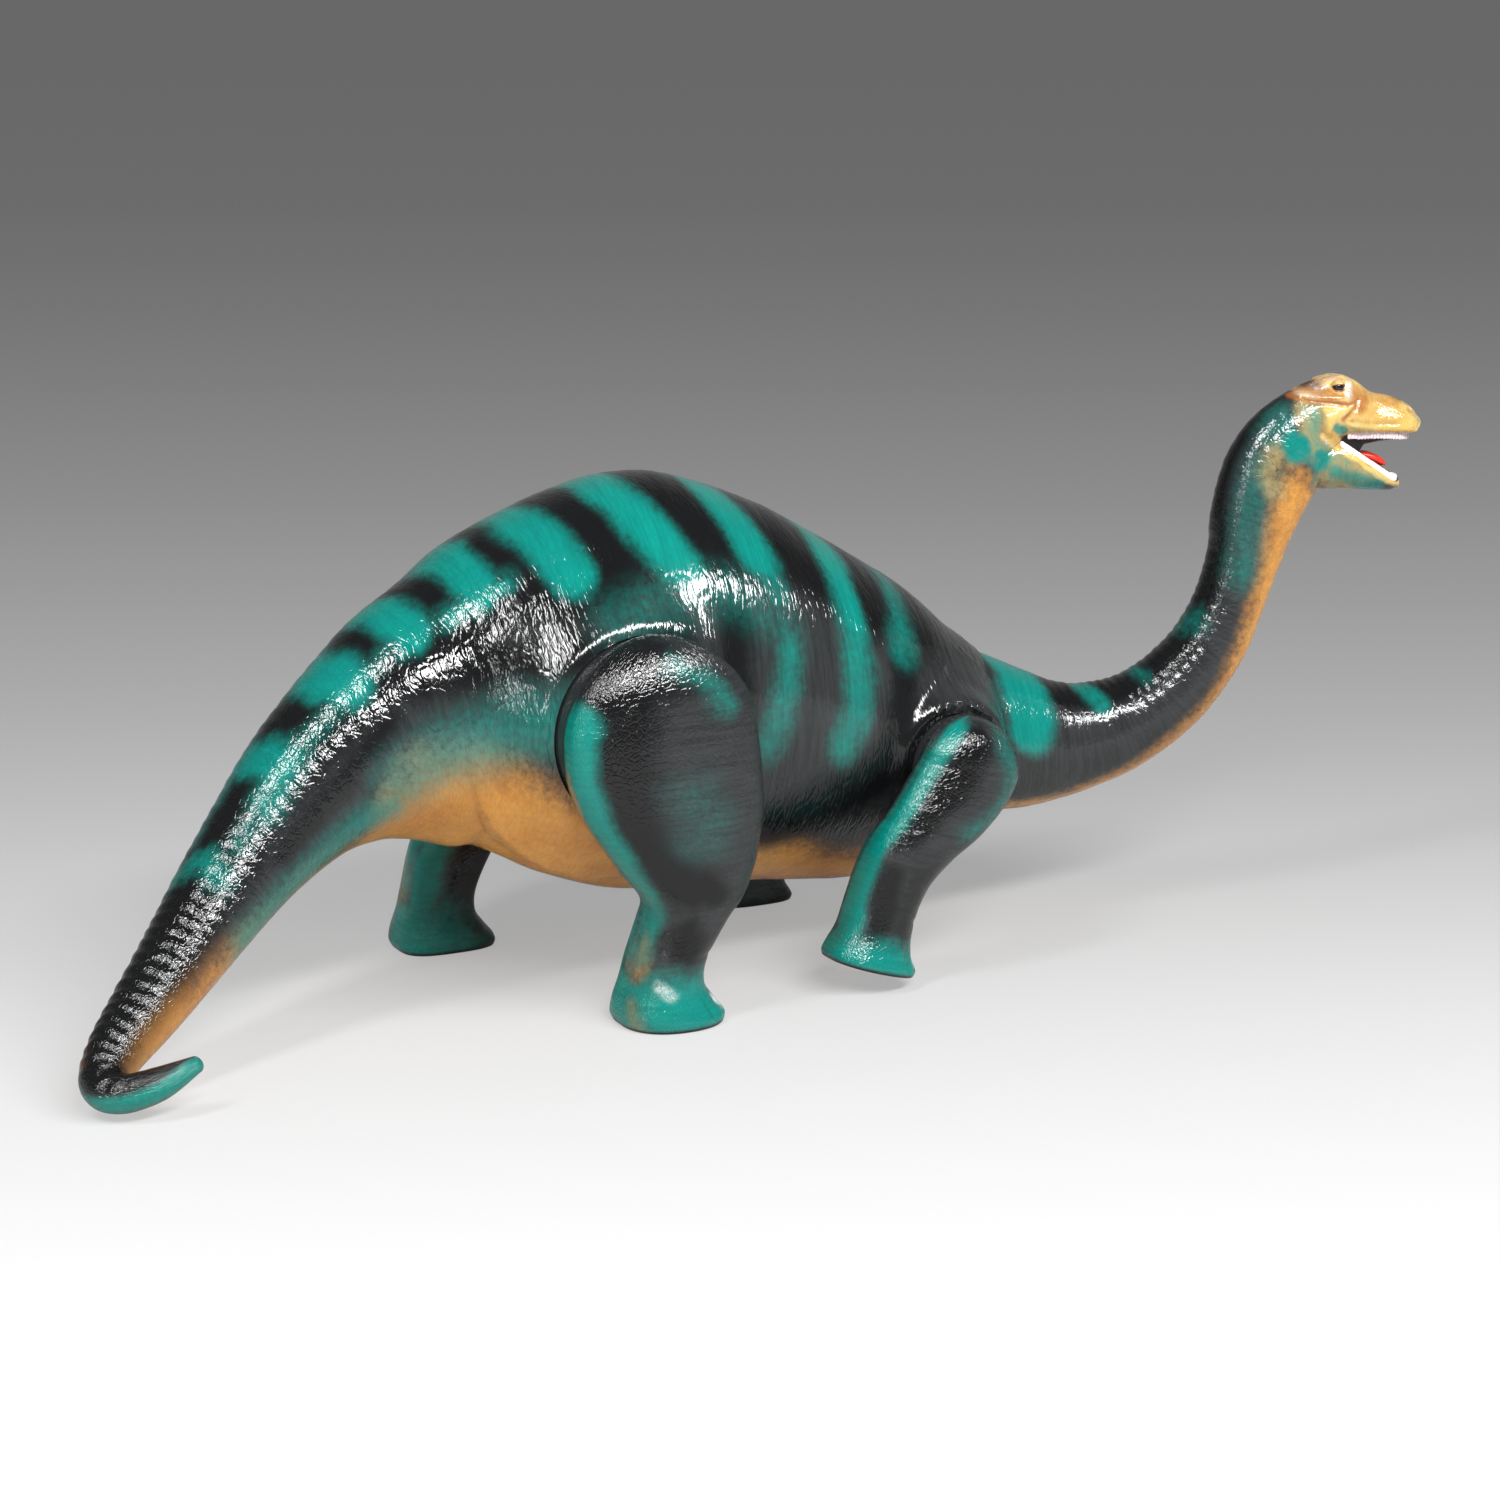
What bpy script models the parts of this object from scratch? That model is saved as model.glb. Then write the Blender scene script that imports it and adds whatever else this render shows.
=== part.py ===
"""A hollow long-necked toy dinosaur whose neck and legs turn on snap plugs in the body.

Metres, +Z up, +X towards the head, +Y to the toy's left. The soles stand on z = 0.
"""

import math

import bmesh
import bpy
from mathutils import Matrix, Vector

# Walls and fits
WALL = 0.0022
JOINT_WALL = 0.0030
FIT_GAP = 0.0003
CUT_OVERRUN = 0.004

# Torso and tail
TORSO_FRONT_X = 0.0975
TORSO_LENGTH = 0.1975
TORSO_HEIGHT = 0.144
TORSO_WIDTH = 0.108
TAIL_LENGTH = 0.137
TAIL_SWEEP = 0.0735
VENT_DIAMETER = 0.0044

# Neck and head
NECK_REACH = 0.154
NECK_HEIGHT = 0.1225
NECK_WIDTH = 0.054
HEAD_WIDTH = 0.0224
NECK_YAW_DEGREES = -18.0
NECK_TILT_DEGREES = 8.0
JAW_GAPE_DEGREES = 37.0
EYE_RADIUS = 0.0022
TOOTH_HEIGHT = 0.0015
TOOTH_THICKNESS = 0.0011
TONGUE_LENGTH = 0.0150
TONGUE_WIDTH = 0.0064
TONGUE_HEIGHT = 0.0030

# Legs
HIND_LEG_LENGTH = 0.0935
FRONT_LEG_LENGTH = 0.0705
HIND_HUB_RADIUS = 0.0308
FRONT_HUB_RADIUS = 0.0166
HIND_LEG_THICKNESS = 0.0205
FRONT_LEG_THICKNESS = 0.0180
HIND_SOCKET_DEPTH = 0.007
FRONT_SOCKET_DEPTH = 0.006
LEG_CLEARANCE = 0.0015
LOBE_OVERHANG = 0.0012
RIGHT_HIND_STRIDE = 0.001
LEFT_HIND_STRIDE = -0.0335
RIGHT_FRONT_STRIDE = -0.0150
LEFT_FRONT_STRIDE = -0.023
RIGHT_FRONT_SWING_DEGREES = 17.0
PAD_CLEARANCE = 0.0008

# Snap plugs and the rings inside the body
HIND_SHANK_RADIUS = 0.0070
FRONT_SHANK_RADIUS = 0.0050
NECK_SHANK_RADIUS = 0.0085
WASHER_THICKNESS = 0.0015
FLANGE_THICKNESS = 0.0020

# Where the legs sit along the torso, counted from its front
SHOULDER_SHARE = 0.219
HIP_SHARE = 0.790

# Torso stations: distance back, rise of the middle, half height and half width, then tilt and heading
TORSO_SHARES = (
    (0.000, 0.037, 0.207, 0.268, 8.0, -18.0),
    (0.041, 0.024, 0.240, 0.305, 4.0, -11.0),
    (0.111, 0.016, 0.290, 0.366, 1.0, -5.0),
    (0.213, 0.026, 0.357, 0.440, 0.0, 0.0),
    (0.334, 0.043, 0.408, 0.481, 0.0, 0.0),
    (0.486, 0.068, 0.453, 0.500, 0.0, 0.0),
    (0.638, 0.066, 0.483, 0.500, 0.0, 0.0),
    (0.749, 0.044, 0.475, 0.490, 0.0, 0.0),
    (0.856, 0.018, 0.431, 0.454, 0.0, 0.0),
    (0.932, 0.002, 0.385, 0.417, 0.0, 1.0),
    (1.000, -0.022, 0.339, 0.375, 2.0, 3.0),
)

# Tail stations: distance back, sweep to the right, height of the underside, half height and half width,
# then tilt and heading
TAIL_SHARES = (
    (0.085, 0.023, 0.540, 0.303, 0.332, 6.0, 7.0),
    (0.174, 0.046, 0.566, 0.265, 0.295, 12.0, 10.0),
    (0.251, 0.072, 0.580, 0.227, 0.262, 18.0, 12.0),
    (0.329, 0.106, 0.580, 0.194, 0.232, 24.0, 15.0),
    (0.426, 0.152, 0.545, 0.162, 0.200, 31.0, 19.0),
    (0.541, 0.228, 0.455, 0.131, 0.168, 36.0, 24.0),
    (0.648, 0.328, 0.348, 0.112, 0.145, 38.0, 30.0),
    (0.759, 0.456, 0.235, 0.094, 0.122, 36.0, 34.0),
    (0.873, 0.605, 0.132, 0.077, 0.101, 34.0, 36.0),
    (0.953, 0.722, 0.073, 0.063, 0.083, 32.0, 42.0),
    (0.995, 0.806, 0.036, 0.052, 0.069, 25.0, 64.0),
    (1.000, 0.885, 0.022, 0.045, 0.060, 6.0, 112.0),
    (0.961, 0.953, 0.032, 0.040, 0.053, -12.0, 147.0),
    (0.896, 0.990, 0.070, 0.034, 0.046, -22.0, 166.0),
    (0.825, 1.000, 0.127, 0.025, 0.033, -26.0, 174.0),
)

# Neck and head stations in the neck's own upright plane: reach, rise, half depth and half width, then tilt
NECK_SHARES = (
    (0.000, 0.000, 0.232, 0.515, 8.0),
    (0.077, -0.022, 0.204, 0.445, 4.0),
    (0.153, -0.034, 0.174, 0.380, 4.0),
    (0.224, -0.025, 0.154, 0.338, 12.0),
    (0.293, -0.002, 0.141, 0.308, 22.0),
    (0.362, 0.038, 0.129, 0.286, 33.0),
    (0.421, 0.091, 0.122, 0.272, 44.0),
    (0.476, 0.161, 0.114, 0.256, 53.0),
    (0.524, 0.247, 0.107, 0.240, 62.0),
    (0.560, 0.349, 0.102, 0.226, 69.0),
    (0.588, 0.465, 0.106, 0.226, 72.5),
    (0.608, 0.580, 0.124, 0.238, 71.0),
    (0.639, 0.696, 0.139, 0.236, 62.0),
    (0.668, 0.762, 0.139, 0.230, 55.0),
    (0.706, 0.823, 0.129, 0.220, 48.0),
    (0.743, 0.869, 0.111, 0.210, 38.0),
    (0.778, 0.898, 0.098, 0.204, 25.0),
    (0.812, 0.900, 0.103, 0.196, 13.0),
    (0.844, 0.879, 0.105, 0.181, 6.5),
    (0.878, 0.862, 0.087, 0.163, 2.5),
    (0.926, 0.855, 0.080, 0.158, 1.5),
    (0.964, 0.848, 0.062, 0.136, -2.0),
    (0.986, 0.839, 0.038, 0.080, -6.0),
)

# Lower jaw stations in the same plane and measures
JAW_SHARES = (
    (0.718, 0.747, 0.065, 0.155, 0.0),
    (0.768, 0.751, 0.078, 0.182, 0.0),
    (0.812, 0.749, 0.077, 0.186, 0.0),
    (0.853, 0.732, 0.063, 0.180, 0.0),
    (0.895, 0.714, 0.047, 0.165, 0.0),
    (0.934, 0.696, 0.033, 0.138, 0.0),
    (0.954, 0.686, 0.019, 0.080, 0.0),
)

# Corner of the mouth and eye in the neck's plane, as reach and rise
MOUTH_CORNER_SHARES = (0.805, 0.818)
EYE_SHARES = (0.783, 0.970)
EYE_SPACING_SHARE = 0.62

# The upper part of each leg follows its hub's circle: an angle above the pivot, and the outer side there
LOBE_DEGREES_AND_SHARES = (
    (80.0, 0.34),
    (62.0, 0.58),
    (42.0, 0.79),
    (20.0, 0.93),
)

# Hind leg stations below the lobe: height from the pivot, rear edge, front edge, inner side and outer side.
# Heights are shares of the leg's length, edges of the hub's radius, and sides of the leg's thickness.
HIND_LEG_SHARES = (
    (0.0, -1.0, 1.0, 0.0, 0.99),
    (-0.120, -0.98, 1.03, 0.0, 1.02),
    (-0.235, -0.85, 1.04, 0.0, 1.03),
    (-0.345, -0.65, 1.01, 0.0, 1.0),
    (-0.455, -0.40, 0.98, -0.25, 0.92),
    (-0.565, -0.13, 0.89, -0.45, 0.80),
    (-0.645, -0.13, 0.74, -0.56, 0.70),
    (-0.775, -0.24, 0.52, -0.62, 0.66),
    (-0.860, -0.30, 0.48, -0.68, 0.68),
    (-0.920, -0.36, 0.58, -0.74, 0.74),
    (-0.972, -0.39, 0.70, -0.77, 0.80),
    (-1.0, -0.36, 0.69, -0.74, 0.77),
)

# Front leg stations in the same order
FRONT_LEG_SHARES = (
    (0.0, -1.0, 1.0, 0.0, 0.97),
    (-0.120, -1.0, 1.02, 0.0, 1.02),
    (-0.270, -0.99, 0.90, 0.0, 1.03),
    (-0.420, -0.97, 0.66, -0.16, 1.0),
    (-0.555, -0.81, 0.59, -0.28, 0.88),
    (-0.690, -0.70, 0.62, -0.36, 0.78),
    (-0.830, -0.70, 0.65, -0.40, 0.78),
    (-0.915, -0.80, 0.76, -0.44, 0.86),
    (-0.970, -0.86, 0.90, -0.47, 0.92),
    (-1.0, -0.82, 0.88, -0.44, 0.88),
)

# The thigh leans over this share of the leg's length, and the shank below it stands straight
STRIDE_REACH_SHARE = 0.62

# Powers that shape the outer and the inner half of a leg's section: 1 is an ellipse, 0 a rectangle
DOME_SHARE = 0.9
FLAT_SHARE = 0.5

# How far the hub's edge reaches into the thigh, and the radius of the hollow's narrow throat behind it
HUB_REACH_SHARE = 0.16
THROAT_SHARE = 0.62

# The raised body round each socket: reach along and up, and outwards, of the hub's radius
HIP_PAD_SHARES = (1.28, 0.60)
SHOULDER_PAD_SHARES = (1.65, 1.20)

# How far a rounded end stands beyond its last ring, and how far the torso's lower flanks draw in
POLE_SHARE = 0.5
TUCK_SHARE = 0.16

# Stations counted from 0: the hollows end before these, and the vent is under this tail station
HOLLOW_TAIL_STATION = 10
HOLLOW_HEAD_STATION = 13
VENT_STATION = 8

# Reach of each tooth row from the corner of the mouth to its front, and its half width at the back
UPPER_TOOTH_SHARES = (0.22, 0.88, 0.60)
LOWER_TOOTH_SHARES = (0.12, 0.86, 0.54)
TONGUE_PLACE_SHARE = 0.5

# Of the shank's radius: flange, snap head, its tip, the ring's rim and the head's length
FLANGE_SHARE = 2.0
HEAD_SHARE = 1.28
TIP_SHARE = 0.62
RIM_SHARE = 1.85
HEAD_LENGTH_SHARE = 1.0

ARC_STEPS = 10
BODY_RING_POINTS = 24
LIMB_RING_POINTS = 18
BODY_STEPS = 2
TURNED_STEPS = 20
HUB_STEPS = 32
VENT_STEPS = 12

RIGHT = -1
LEFT = 1


def clear_scene():
    """Removes whatever the file opened with."""
    for thing in list(bpy.data.objects):
        bpy.data.objects.remove(thing, do_unlink=True)


def make_material(name, colour, roughness, metallic=0.0):
    """A Principled material."""
    material = bpy.data.materials.new(name)
    material.use_nodes = True
    shader = material.node_tree.nodes["Principled BSDF"]
    shader.inputs["Base Color"].default_value = (*colour, 1.0)
    shader.inputs["Roughness"].default_value = roughness
    shader.inputs["Metallic"].default_value = metallic
    return material


clear_scene()
PARTS = bpy.data.collections.new("toy_dinosaur")
CUTTERS = bpy.data.collections.new("cutters")
bpy.context.scene.collection.children.link(PARTS)
bpy.context.scene.collection.children.link(CUTTERS)


def add_mesh(name, bm, material=None, frame=None):
    """Makes an object of a bmesh: a part if it has a material, else a cutter. frame is its parent empty."""
    bmesh.ops.recalc_face_normals(bm, faces=bm.faces)
    mesh = bpy.data.meshes.new(name)
    bm.to_mesh(mesh)
    bm.free()
    mesh.shade_smooth()
    mesh.set_sharp_from_angle(angle=math.radians(35.0))
    thing = bpy.data.objects.new(name, mesh)
    if material:
        mesh.materials.append(material)
        PARTS.objects.link(thing)
    else:
        CUTTERS.objects.link(thing)
        thing.hide_render = True
        thing.display_type = "WIRE"
    thing.parent = frame
    return thing


def add_empty(name, matrix):
    """An empty on a joint's axis, which carries the pieces that turn with it."""
    empty = bpy.data.objects.new(name, None)
    empty.empty_display_size = FRONT_HUB_RADIUS
    empty.matrix_world = matrix
    PARTS.objects.link(empty)
    return empty


def combine(thing, other, operation):
    """A live exact Boolean of thing with other."""
    modifier = thing.modifiers.new(f"{operation.lower()}_{other.name}", "BOOLEAN")
    modifier.object = other
    modifier.operation = operation
    modifier.solver = "EXACT"


def smooth_rows(rows, steps):
    """Rows read along a smooth curve through the given rows, with steps spans between neighbours."""
    out = []
    for i in range(len(rows) - 1):
        before = rows[max(i - 1, 0)]
        after = rows[min(i + 2, len(rows) - 1)]
        for k in range(steps):
            t = k / steps
            row = []
            for p0, p1, p2, p3 in zip(before, rows[i], rows[i + 1], after):
                slope_in = (p2 - p0) / 2
                slope_out = (p3 - p1) / 2
                rise = p2 - p1
                row.append(p1 + slope_in * t + (3 * rise - 2 * slope_in - slope_out) * t ** 2
                           + (slope_in + slope_out - 2 * rise) * t ** 3)
            out.append(tuple(row))
    out.append(rows[-1])
    return out


def loft(rings, flat_start=False, flat_end=False):
    """A closed bmesh through rings of points. An end is a flat face or is drawn to a pole at its middle."""
    bm = bmesh.new()
    loops = [[bm.verts.new(point) for point in ring] for ring in rings]
    count = len(loops[0])
    for first, second in zip(loops, loops[1:]):
        for i in range(count):
            j = (i + 1) % count
            bm.faces.new((first[i], first[j], second[j], second[i]))
    for loop, inner, flat in ((loops[0], rings[1], flat_start), (loops[-1], rings[-2], flat_end)):
        if flat:
            bm.faces.new(loop)
            continue
        middle = sum((v.co for v in loop), Vector()) / count
        away = middle - sum(inner, Vector()) / count
        radius = sum((v.co - middle).length for v in loop) / count
        pole = bm.verts.new(middle + away.normalized() * radius * POLE_SHARE)
        for i in range(count):
            bm.faces.new((loop[i], loop[(i + 1) % count], pole))
    return bm


def oval_ring(middle, half_height, half_width, tilt, heading, count, tuck=0.0, square=1.0):
    """Points of an oval section that faces along a heading, tilted up by tilt, both in degrees.

    tuck draws in the lower half, and square below 1 fills the oval out towards its corners.
    """
    tilt = math.radians(tilt)
    heading = math.radians(heading)
    up = Vector((-math.sin(tilt) * math.cos(heading), -math.sin(tilt) * math.sin(heading), math.cos(tilt)))
    side = Vector((-math.sin(heading), math.cos(heading), 0.0))
    ring = []
    for i in range(count):
        angle = 2 * math.pi * i / count
        u = math.copysign(abs(math.sin(angle)) ** square, math.sin(angle))
        s = math.copysign(abs(math.cos(angle)) ** square, math.cos(angle))
        if u < 0:
            s *= 1 - tuck * u * u
        ring.append(Vector(middle) + up * half_height * u + side * half_width * s)
    return ring


def add_cylinder(name, radius, start, end, material=None, frame=None, steps=TURNED_STEPS, axis="Y"):
    """A cylinder along Y or Z of its frame, from start to end."""
    bm = bmesh.new()
    turn = Matrix.Rotation(math.pi / 2, 4, "X") if axis == "Y" else Matrix.Identity(4)
    middle = (start + end) / 2
    place = Matrix.Translation((0, middle, 0) if axis == "Y" else (0, 0, middle))
    bmesh.ops.create_cone(bm, cap_ends=True, segments=steps, radius1=radius, radius2=radius,
                          depth=abs(end - start), matrix=place @ turn)
    return add_mesh(name, bm, material, frame)


def add_turned(name, outline, closed, frame, material):
    """A piece turned about its frame's Z from (radius, height) points that run down its outer side."""
    mesh = bpy.data.meshes.new(name)
    last = len(outline) - 1
    edges = [(i, i + 1) for i in range(last)]
    if closed:
        edges.append((last, 0))
    mesh.from_pydata([(radius, 0.0, height) for radius, height in outline], edges, [])
    mesh.materials.append(material)
    thing = bpy.data.objects.new(name, mesh)
    PARTS.objects.link(thing)
    thing.parent = frame
    screw = thing.modifiers.new("turn", "SCREW")
    screw.steps = TURNED_STEPS
    screw.render_steps = TURNED_STEPS
    screw.use_merge_vertices = True
    screw.merge_threshold = 0.00001
    screw.use_smooth_shade = True
    return thing


# Places that several pieces share

SHOULDER_X = TORSO_FRONT_X - SHOULDER_SHARE * TORSO_LENGTH
HIP_X = TORSO_FRONT_X - HIP_SHARE * TORSO_LENGTH


def axis_height(x):
    """Height of the straight line through the shoulder and hip pivots."""
    slope = (HIND_LEG_LENGTH - FRONT_LEG_LENGTH) / (SHOULDER_X - HIP_X)
    return FRONT_LEG_LENGTH + (SHOULDER_X - x) * slope


def torso_station(row):
    """Middle, half height, half width, tilt and heading of a torso section."""
    back, rise, height, width, tilt, heading = row
    x = TORSO_FRONT_X - back * TORSO_LENGTH
    z = axis_height(x) + rise * TORSO_HEIGHT
    return (x, 0.0, z, height * TORSO_HEIGHT, width * TORSO_WIDTH, tilt, heading)


def tail_station(row):
    """The same for a tail section, whose height is given at its underside."""
    back, sweep, under, height, width, tilt, heading = row
    x = TORSO_FRONT_X - TORSO_LENGTH - back * TAIL_LENGTH
    half_height = height * TORSO_HEIGHT
    z = under * HIND_LEG_LENGTH + half_height
    return (x, -sweep * TAIL_SWEEP, z, half_height, width * TORSO_WIDTH, tilt, heading)


BODY_STATIONS = [torso_station(row) for row in TORSO_SHARES] + [tail_station(row) for row in TAIL_SHARES]

NECK_DIRECTION = (Matrix.Rotation(math.radians(NECK_YAW_DEGREES), 3, "Z")
                  @ Matrix.Rotation(math.radians(-NECK_TILT_DEGREES), 3, "Y")
                  @ Vector((1.0, 0.0, 0.0)))
NECK_SEAT = Vector(BODY_STATIONS[0][:3])

# Turns the neck axis frame so that its Z runs along the neck's own direction
NECK_TURN = NECK_DIRECTION.to_track_quat("Z", "Y").to_matrix().to_4x4()


def flank_half_width(share):
    """Half width of the torso at a share of its length."""
    for first, second in zip(TORSO_SHARES, TORSO_SHARES[1:]):
        if first[0] <= share <= second[0]:
            along = (share - first[0]) / (second[0] - first[0])
            return (first[3] + (second[3] - first[3]) * along) * TORSO_WIDTH
    return TORSO_SHARES[-1][3] * TORSO_WIDTH


def plan_leg(name, side, hind, stride, swing):
    """Sizes and places of one leg, shared by its shell, plug, ring and socket."""
    share = HIP_SHARE if hind else SHOULDER_SHARE
    depth = HIND_SOCKET_DEPTH if hind else FRONT_SOCKET_DEPTH
    length = HIND_LEG_LENGTH if hind else FRONT_LEG_LENGTH
    hub = HIND_HUB_RADIUS if hind else FRONT_HUB_RADIUS
    lobe = hub + LOBE_OVERHANG
    shares = HIND_LEG_SHARES if hind else FRONT_LEG_SHARES
    turn = math.radians(swing)
    toe = stride + shares[-1][2] * lobe
    return {
        "name": name,
        "side": side,
        "stride": stride,
        "turn": turn,
        "flank": flank_half_width(share),
        "face": flank_half_width(share) - depth,
        "pivot": Vector((HIP_X if hind else SHOULDER_X, 0.0, length)),
        "length": (length - toe * math.sin(turn)) / math.cos(turn),
        "start": flank_half_width(share + lobe / TORSO_LENGTH * (-1 if hind else 1)) + LEG_CLEARANCE,
        "hub": hub,
        "lobe": lobe,
        "shank": HIND_SHANK_RADIUS if hind else FRONT_SHANK_RADIUS,
        "thickness": HIND_LEG_THICKNESS if hind else FRONT_LEG_THICKNESS,
        "shares": shares,
        "pad": HIP_PAD_SHARES if hind else SHOULDER_PAD_SHARES,
    }


LEGS = (
    plan_leg("right_hind", RIGHT, True, RIGHT_HIND_STRIDE, 0.0),
    plan_leg("left_hind", LEFT, True, LEFT_HIND_STRIDE, 0.0),
    plan_leg("right_front", RIGHT, False, RIGHT_FRONT_STRIDE, RIGHT_FRONT_SWING_DEGREES),
    plan_leg("left_front", LEFT, False, LEFT_FRONT_STRIDE, 0.0),
)


def body_rings(stations, inset, count):
    """Sections of the body, drawn in by inset."""
    rings = []
    for x, y, z, height, width, tilt, heading in stations:
        rings.append(oval_ring((x, y, z), height - inset, width - inset, tilt, heading, count, TUCK_SHARE))
    return rings


def build_body(material):
    """The hollow torso and tail, with its leg sockets, neck opening and vent."""
    stations = smooth_rows(BODY_STATIONS, BODY_STEPS)
    rings = body_rings(stations, 0.0, BODY_RING_POINTS)
    body = add_mesh("body_shell", loft(rings, flat_start=True), material)

    for leg in LEGS:
        rim = leg["hub"] + 2 * FIT_GAP
        reach = leg["pad"][0] * leg["hub"]
        bulge = leg["pad"][1] * leg["hub"]
        sunk = leg["start"] - PAD_CLEARANCE - bulge * math.sqrt(1 - (rim / reach) ** 2)
        middle = leg["pivot"] + Vector((0.0, leg["side"] * sunk, 0.0))
        place = Matrix.Translation(middle) @ Matrix.Diagonal((reach, bulge, reach, 1.0))
        bm = bmesh.new()
        bmesh.ops.create_uvsphere(bm, u_segments=24, v_segments=14, radius=1.0, matrix=place)
        combine(body, add_mesh(f"{leg['name']}_pad", bm), "UNION")

    hollow_end = len(TORSO_SHARES) + HOLLOW_TAIL_STATION
    hollow_stations = BODY_STATIONS[:hollow_end]
    start = list(hollow_stations[0])
    start[0:3] = NECK_SEAT - NECK_DIRECTION * JOINT_WALL
    hollow_stations[0] = tuple(start)
    hollow_rings = body_rings(hollow_stations, WALL, BODY_RING_POINTS - 8)
    hollow = add_mesh("body_hollow", loft(hollow_rings, flat_start=True))
    for leg in LEGS:
        side = leg["side"]
        frame = add_empty(f"{leg['name']}_socket_axis", Matrix.Translation(leg["pivot"]))
        inner = side * (leg["face"] - JOINT_WALL)
        outer = side * (leg["flank"] + leg["hub"])
        rim = leg["hub"] + 2 * FIT_GAP
        boss = add_cylinder(f"{leg['name']}_boss", rim + WALL, inner, outer, frame=frame)
        combine(hollow, boss, "DIFFERENCE")
        socket = add_cylinder(f"{leg['name']}_socket", rim, side * leg["face"], outer, frame=frame,
                              steps=HUB_STEPS)
        bore = add_cylinder(f"{leg['name']}_bore", leg["shank"] + FIT_GAP, side * (leg["face"] - CUT_OVERRUN),
                            side * (leg["face"] + CUT_OVERRUN), frame=frame)
        leg["cutters"] = (socket, bore)
    combine(body, hollow, "DIFFERENCE")
    for leg in LEGS:
        for cutter in leg["cutters"]:
            combine(body, cutter, "DIFFERENCE")

    seat = add_empty("neck_seat_axis", Matrix.Translation(NECK_SEAT) @ NECK_TURN)
    bore = add_cylinder("neck_seat_bore", NECK_SHANK_RADIUS + FIT_GAP, -CUT_OVERRUN, CUT_OVERRUN,
                        frame=seat, axis="Z")
    combine(body, bore, "DIFFERENCE")

    x, y, z, height = tail_station(TAIL_SHARES[VENT_STATION])[:4]
    vent_frame = add_empty("vent_axis", Matrix.Translation((x, y, z - height)))
    vent = add_cylinder("vent", VENT_DIAMETER / 2, -height, height / 2, frame=vent_frame, steps=VENT_STEPS,
                        axis="Z")
    combine(body, vent, "DIFFERENCE")
    return body


def neck_station(row):
    """Middle, half depth, half width and tilt of a neck, head or jaw section in the neck's plane."""
    reach, rise, depth, width, tilt = row
    return (reach * NECK_REACH, 0.0, rise * NECK_HEIGHT, depth * NECK_HEIGHT, width * NECK_WIDTH, tilt, 0.0)


def neck_rings(stations, inset, count):
    """Sections of the neck, head or jaw, drawn in by inset."""
    return [oval_ring((x, y, z), depth - inset, width - inset, tilt, heading, count)
            for x, y, z, depth, width, tilt, heading in stations]


def build_neck(material, axis):
    """The hollow neck and head with an open mouth, in the frame of the neck's turning axis."""
    upright = NECK_TURN.inverted() @ Matrix.Rotation(math.radians(NECK_YAW_DEGREES), 4, "Z")
    plane = add_empty("neck_plane", Matrix.Identity(4))
    plane.parent = axis
    plane.matrix_local = Matrix.Translation(Vector((0.0, 0.0, FIT_GAP))) @ upright

    stations = [neck_station(row) for row in NECK_SHARES]
    neck = add_mesh("neck_head_shell", loft(neck_rings(stations, 0.0, LIMB_RING_POINTS), flat_start=True),
                    material, plane)
    jaw_stations = [neck_station(row) for row in JAW_SHARES]
    jaw = add_mesh("jaw_block", loft(neck_rings(jaw_stations, 0.0, LIMB_RING_POINTS - 4)), frame=plane)
    combine(neck, jaw, "UNION")

    hollow_stations = [neck_station(row) for row in NECK_SHARES[:HOLLOW_HEAD_STATION]]
    start = list(hollow_stations[0])
    tilt = math.radians(NECK_TILT_DEGREES)
    start[0] += JOINT_WALL * math.cos(tilt)
    start[2] += JOINT_WALL * math.sin(tilt)
    start[3:5] = hollow_stations[1][3:5]
    hollow_stations[0] = tuple(start)
    hollow_rings = neck_rings(hollow_stations, WALL, LIMB_RING_POINTS - 6)
    hollow = add_mesh("neck_hollow", loft(hollow_rings, flat_start=True), frame=plane)
    combine(neck, hollow, "DIFFERENCE")

    bore = add_cylinder("neck_bore", NECK_SHANK_RADIUS + FIT_GAP, -CUT_OVERRUN, CUT_OVERRUN + FIT_GAP,
                        frame=axis, axis="Z")
    combine(neck, bore, "DIFFERENCE")

    corner = Vector((MOUTH_CORNER_SHARES[0] * NECK_REACH, 0.0, MOUTH_CORNER_SHARES[1] * NECK_HEIGHT))
    mouth = add_empty("mouth_corner", Matrix.Identity(4))
    mouth.parent = plane
    mouth.matrix_local = Matrix.Translation(corner)
    gape = math.radians(JAW_GAPE_DEGREES)
    reach = NECK_REACH - corner.x + CUT_OVERRUN
    bm = bmesh.new()
    profile = [(0.0, 0.0), (reach, 0.0), (reach, -reach * math.tan(gape))]
    face = bm.faces.new([bm.verts.new((x, -NECK_WIDTH, z)) for x, z in profile])
    swept = bmesh.ops.extrude_face_region(bm, geom=[face])
    moved = [v for v in swept["geom"] if isinstance(v, bmesh.types.BMVert)]
    bmesh.ops.translate(bm, vec=(0.0, 2 * NECK_WIDTH, 0.0), verts=moved)
    combine(neck, add_mesh("mouth_wedge", bm, frame=mouth), "DIFFERENCE")

    for side, name in ((RIGHT, "right_eye_socket"), (LEFT, "left_eye_socket")):
        bm = bmesh.new()
        bmesh.ops.create_uvsphere(bm, u_segments=14, v_segments=10, radius=EYE_RADIUS + FIT_GAP,
                                  matrix=Matrix.Translation(eye_middle(side)))
        combine(neck, add_mesh(name, bm, frame=plane), "DIFFERENCE")
    return neck, plane, mouth


def eye_middle(side):
    """Middle of an eye in the neck's plane frame."""
    reach, rise = EYE_SHARES
    return Vector((reach * NECK_REACH, side * EYE_SPACING_SHARE * HEAD_WIDTH / 2, rise * NECK_HEIGHT))


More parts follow.
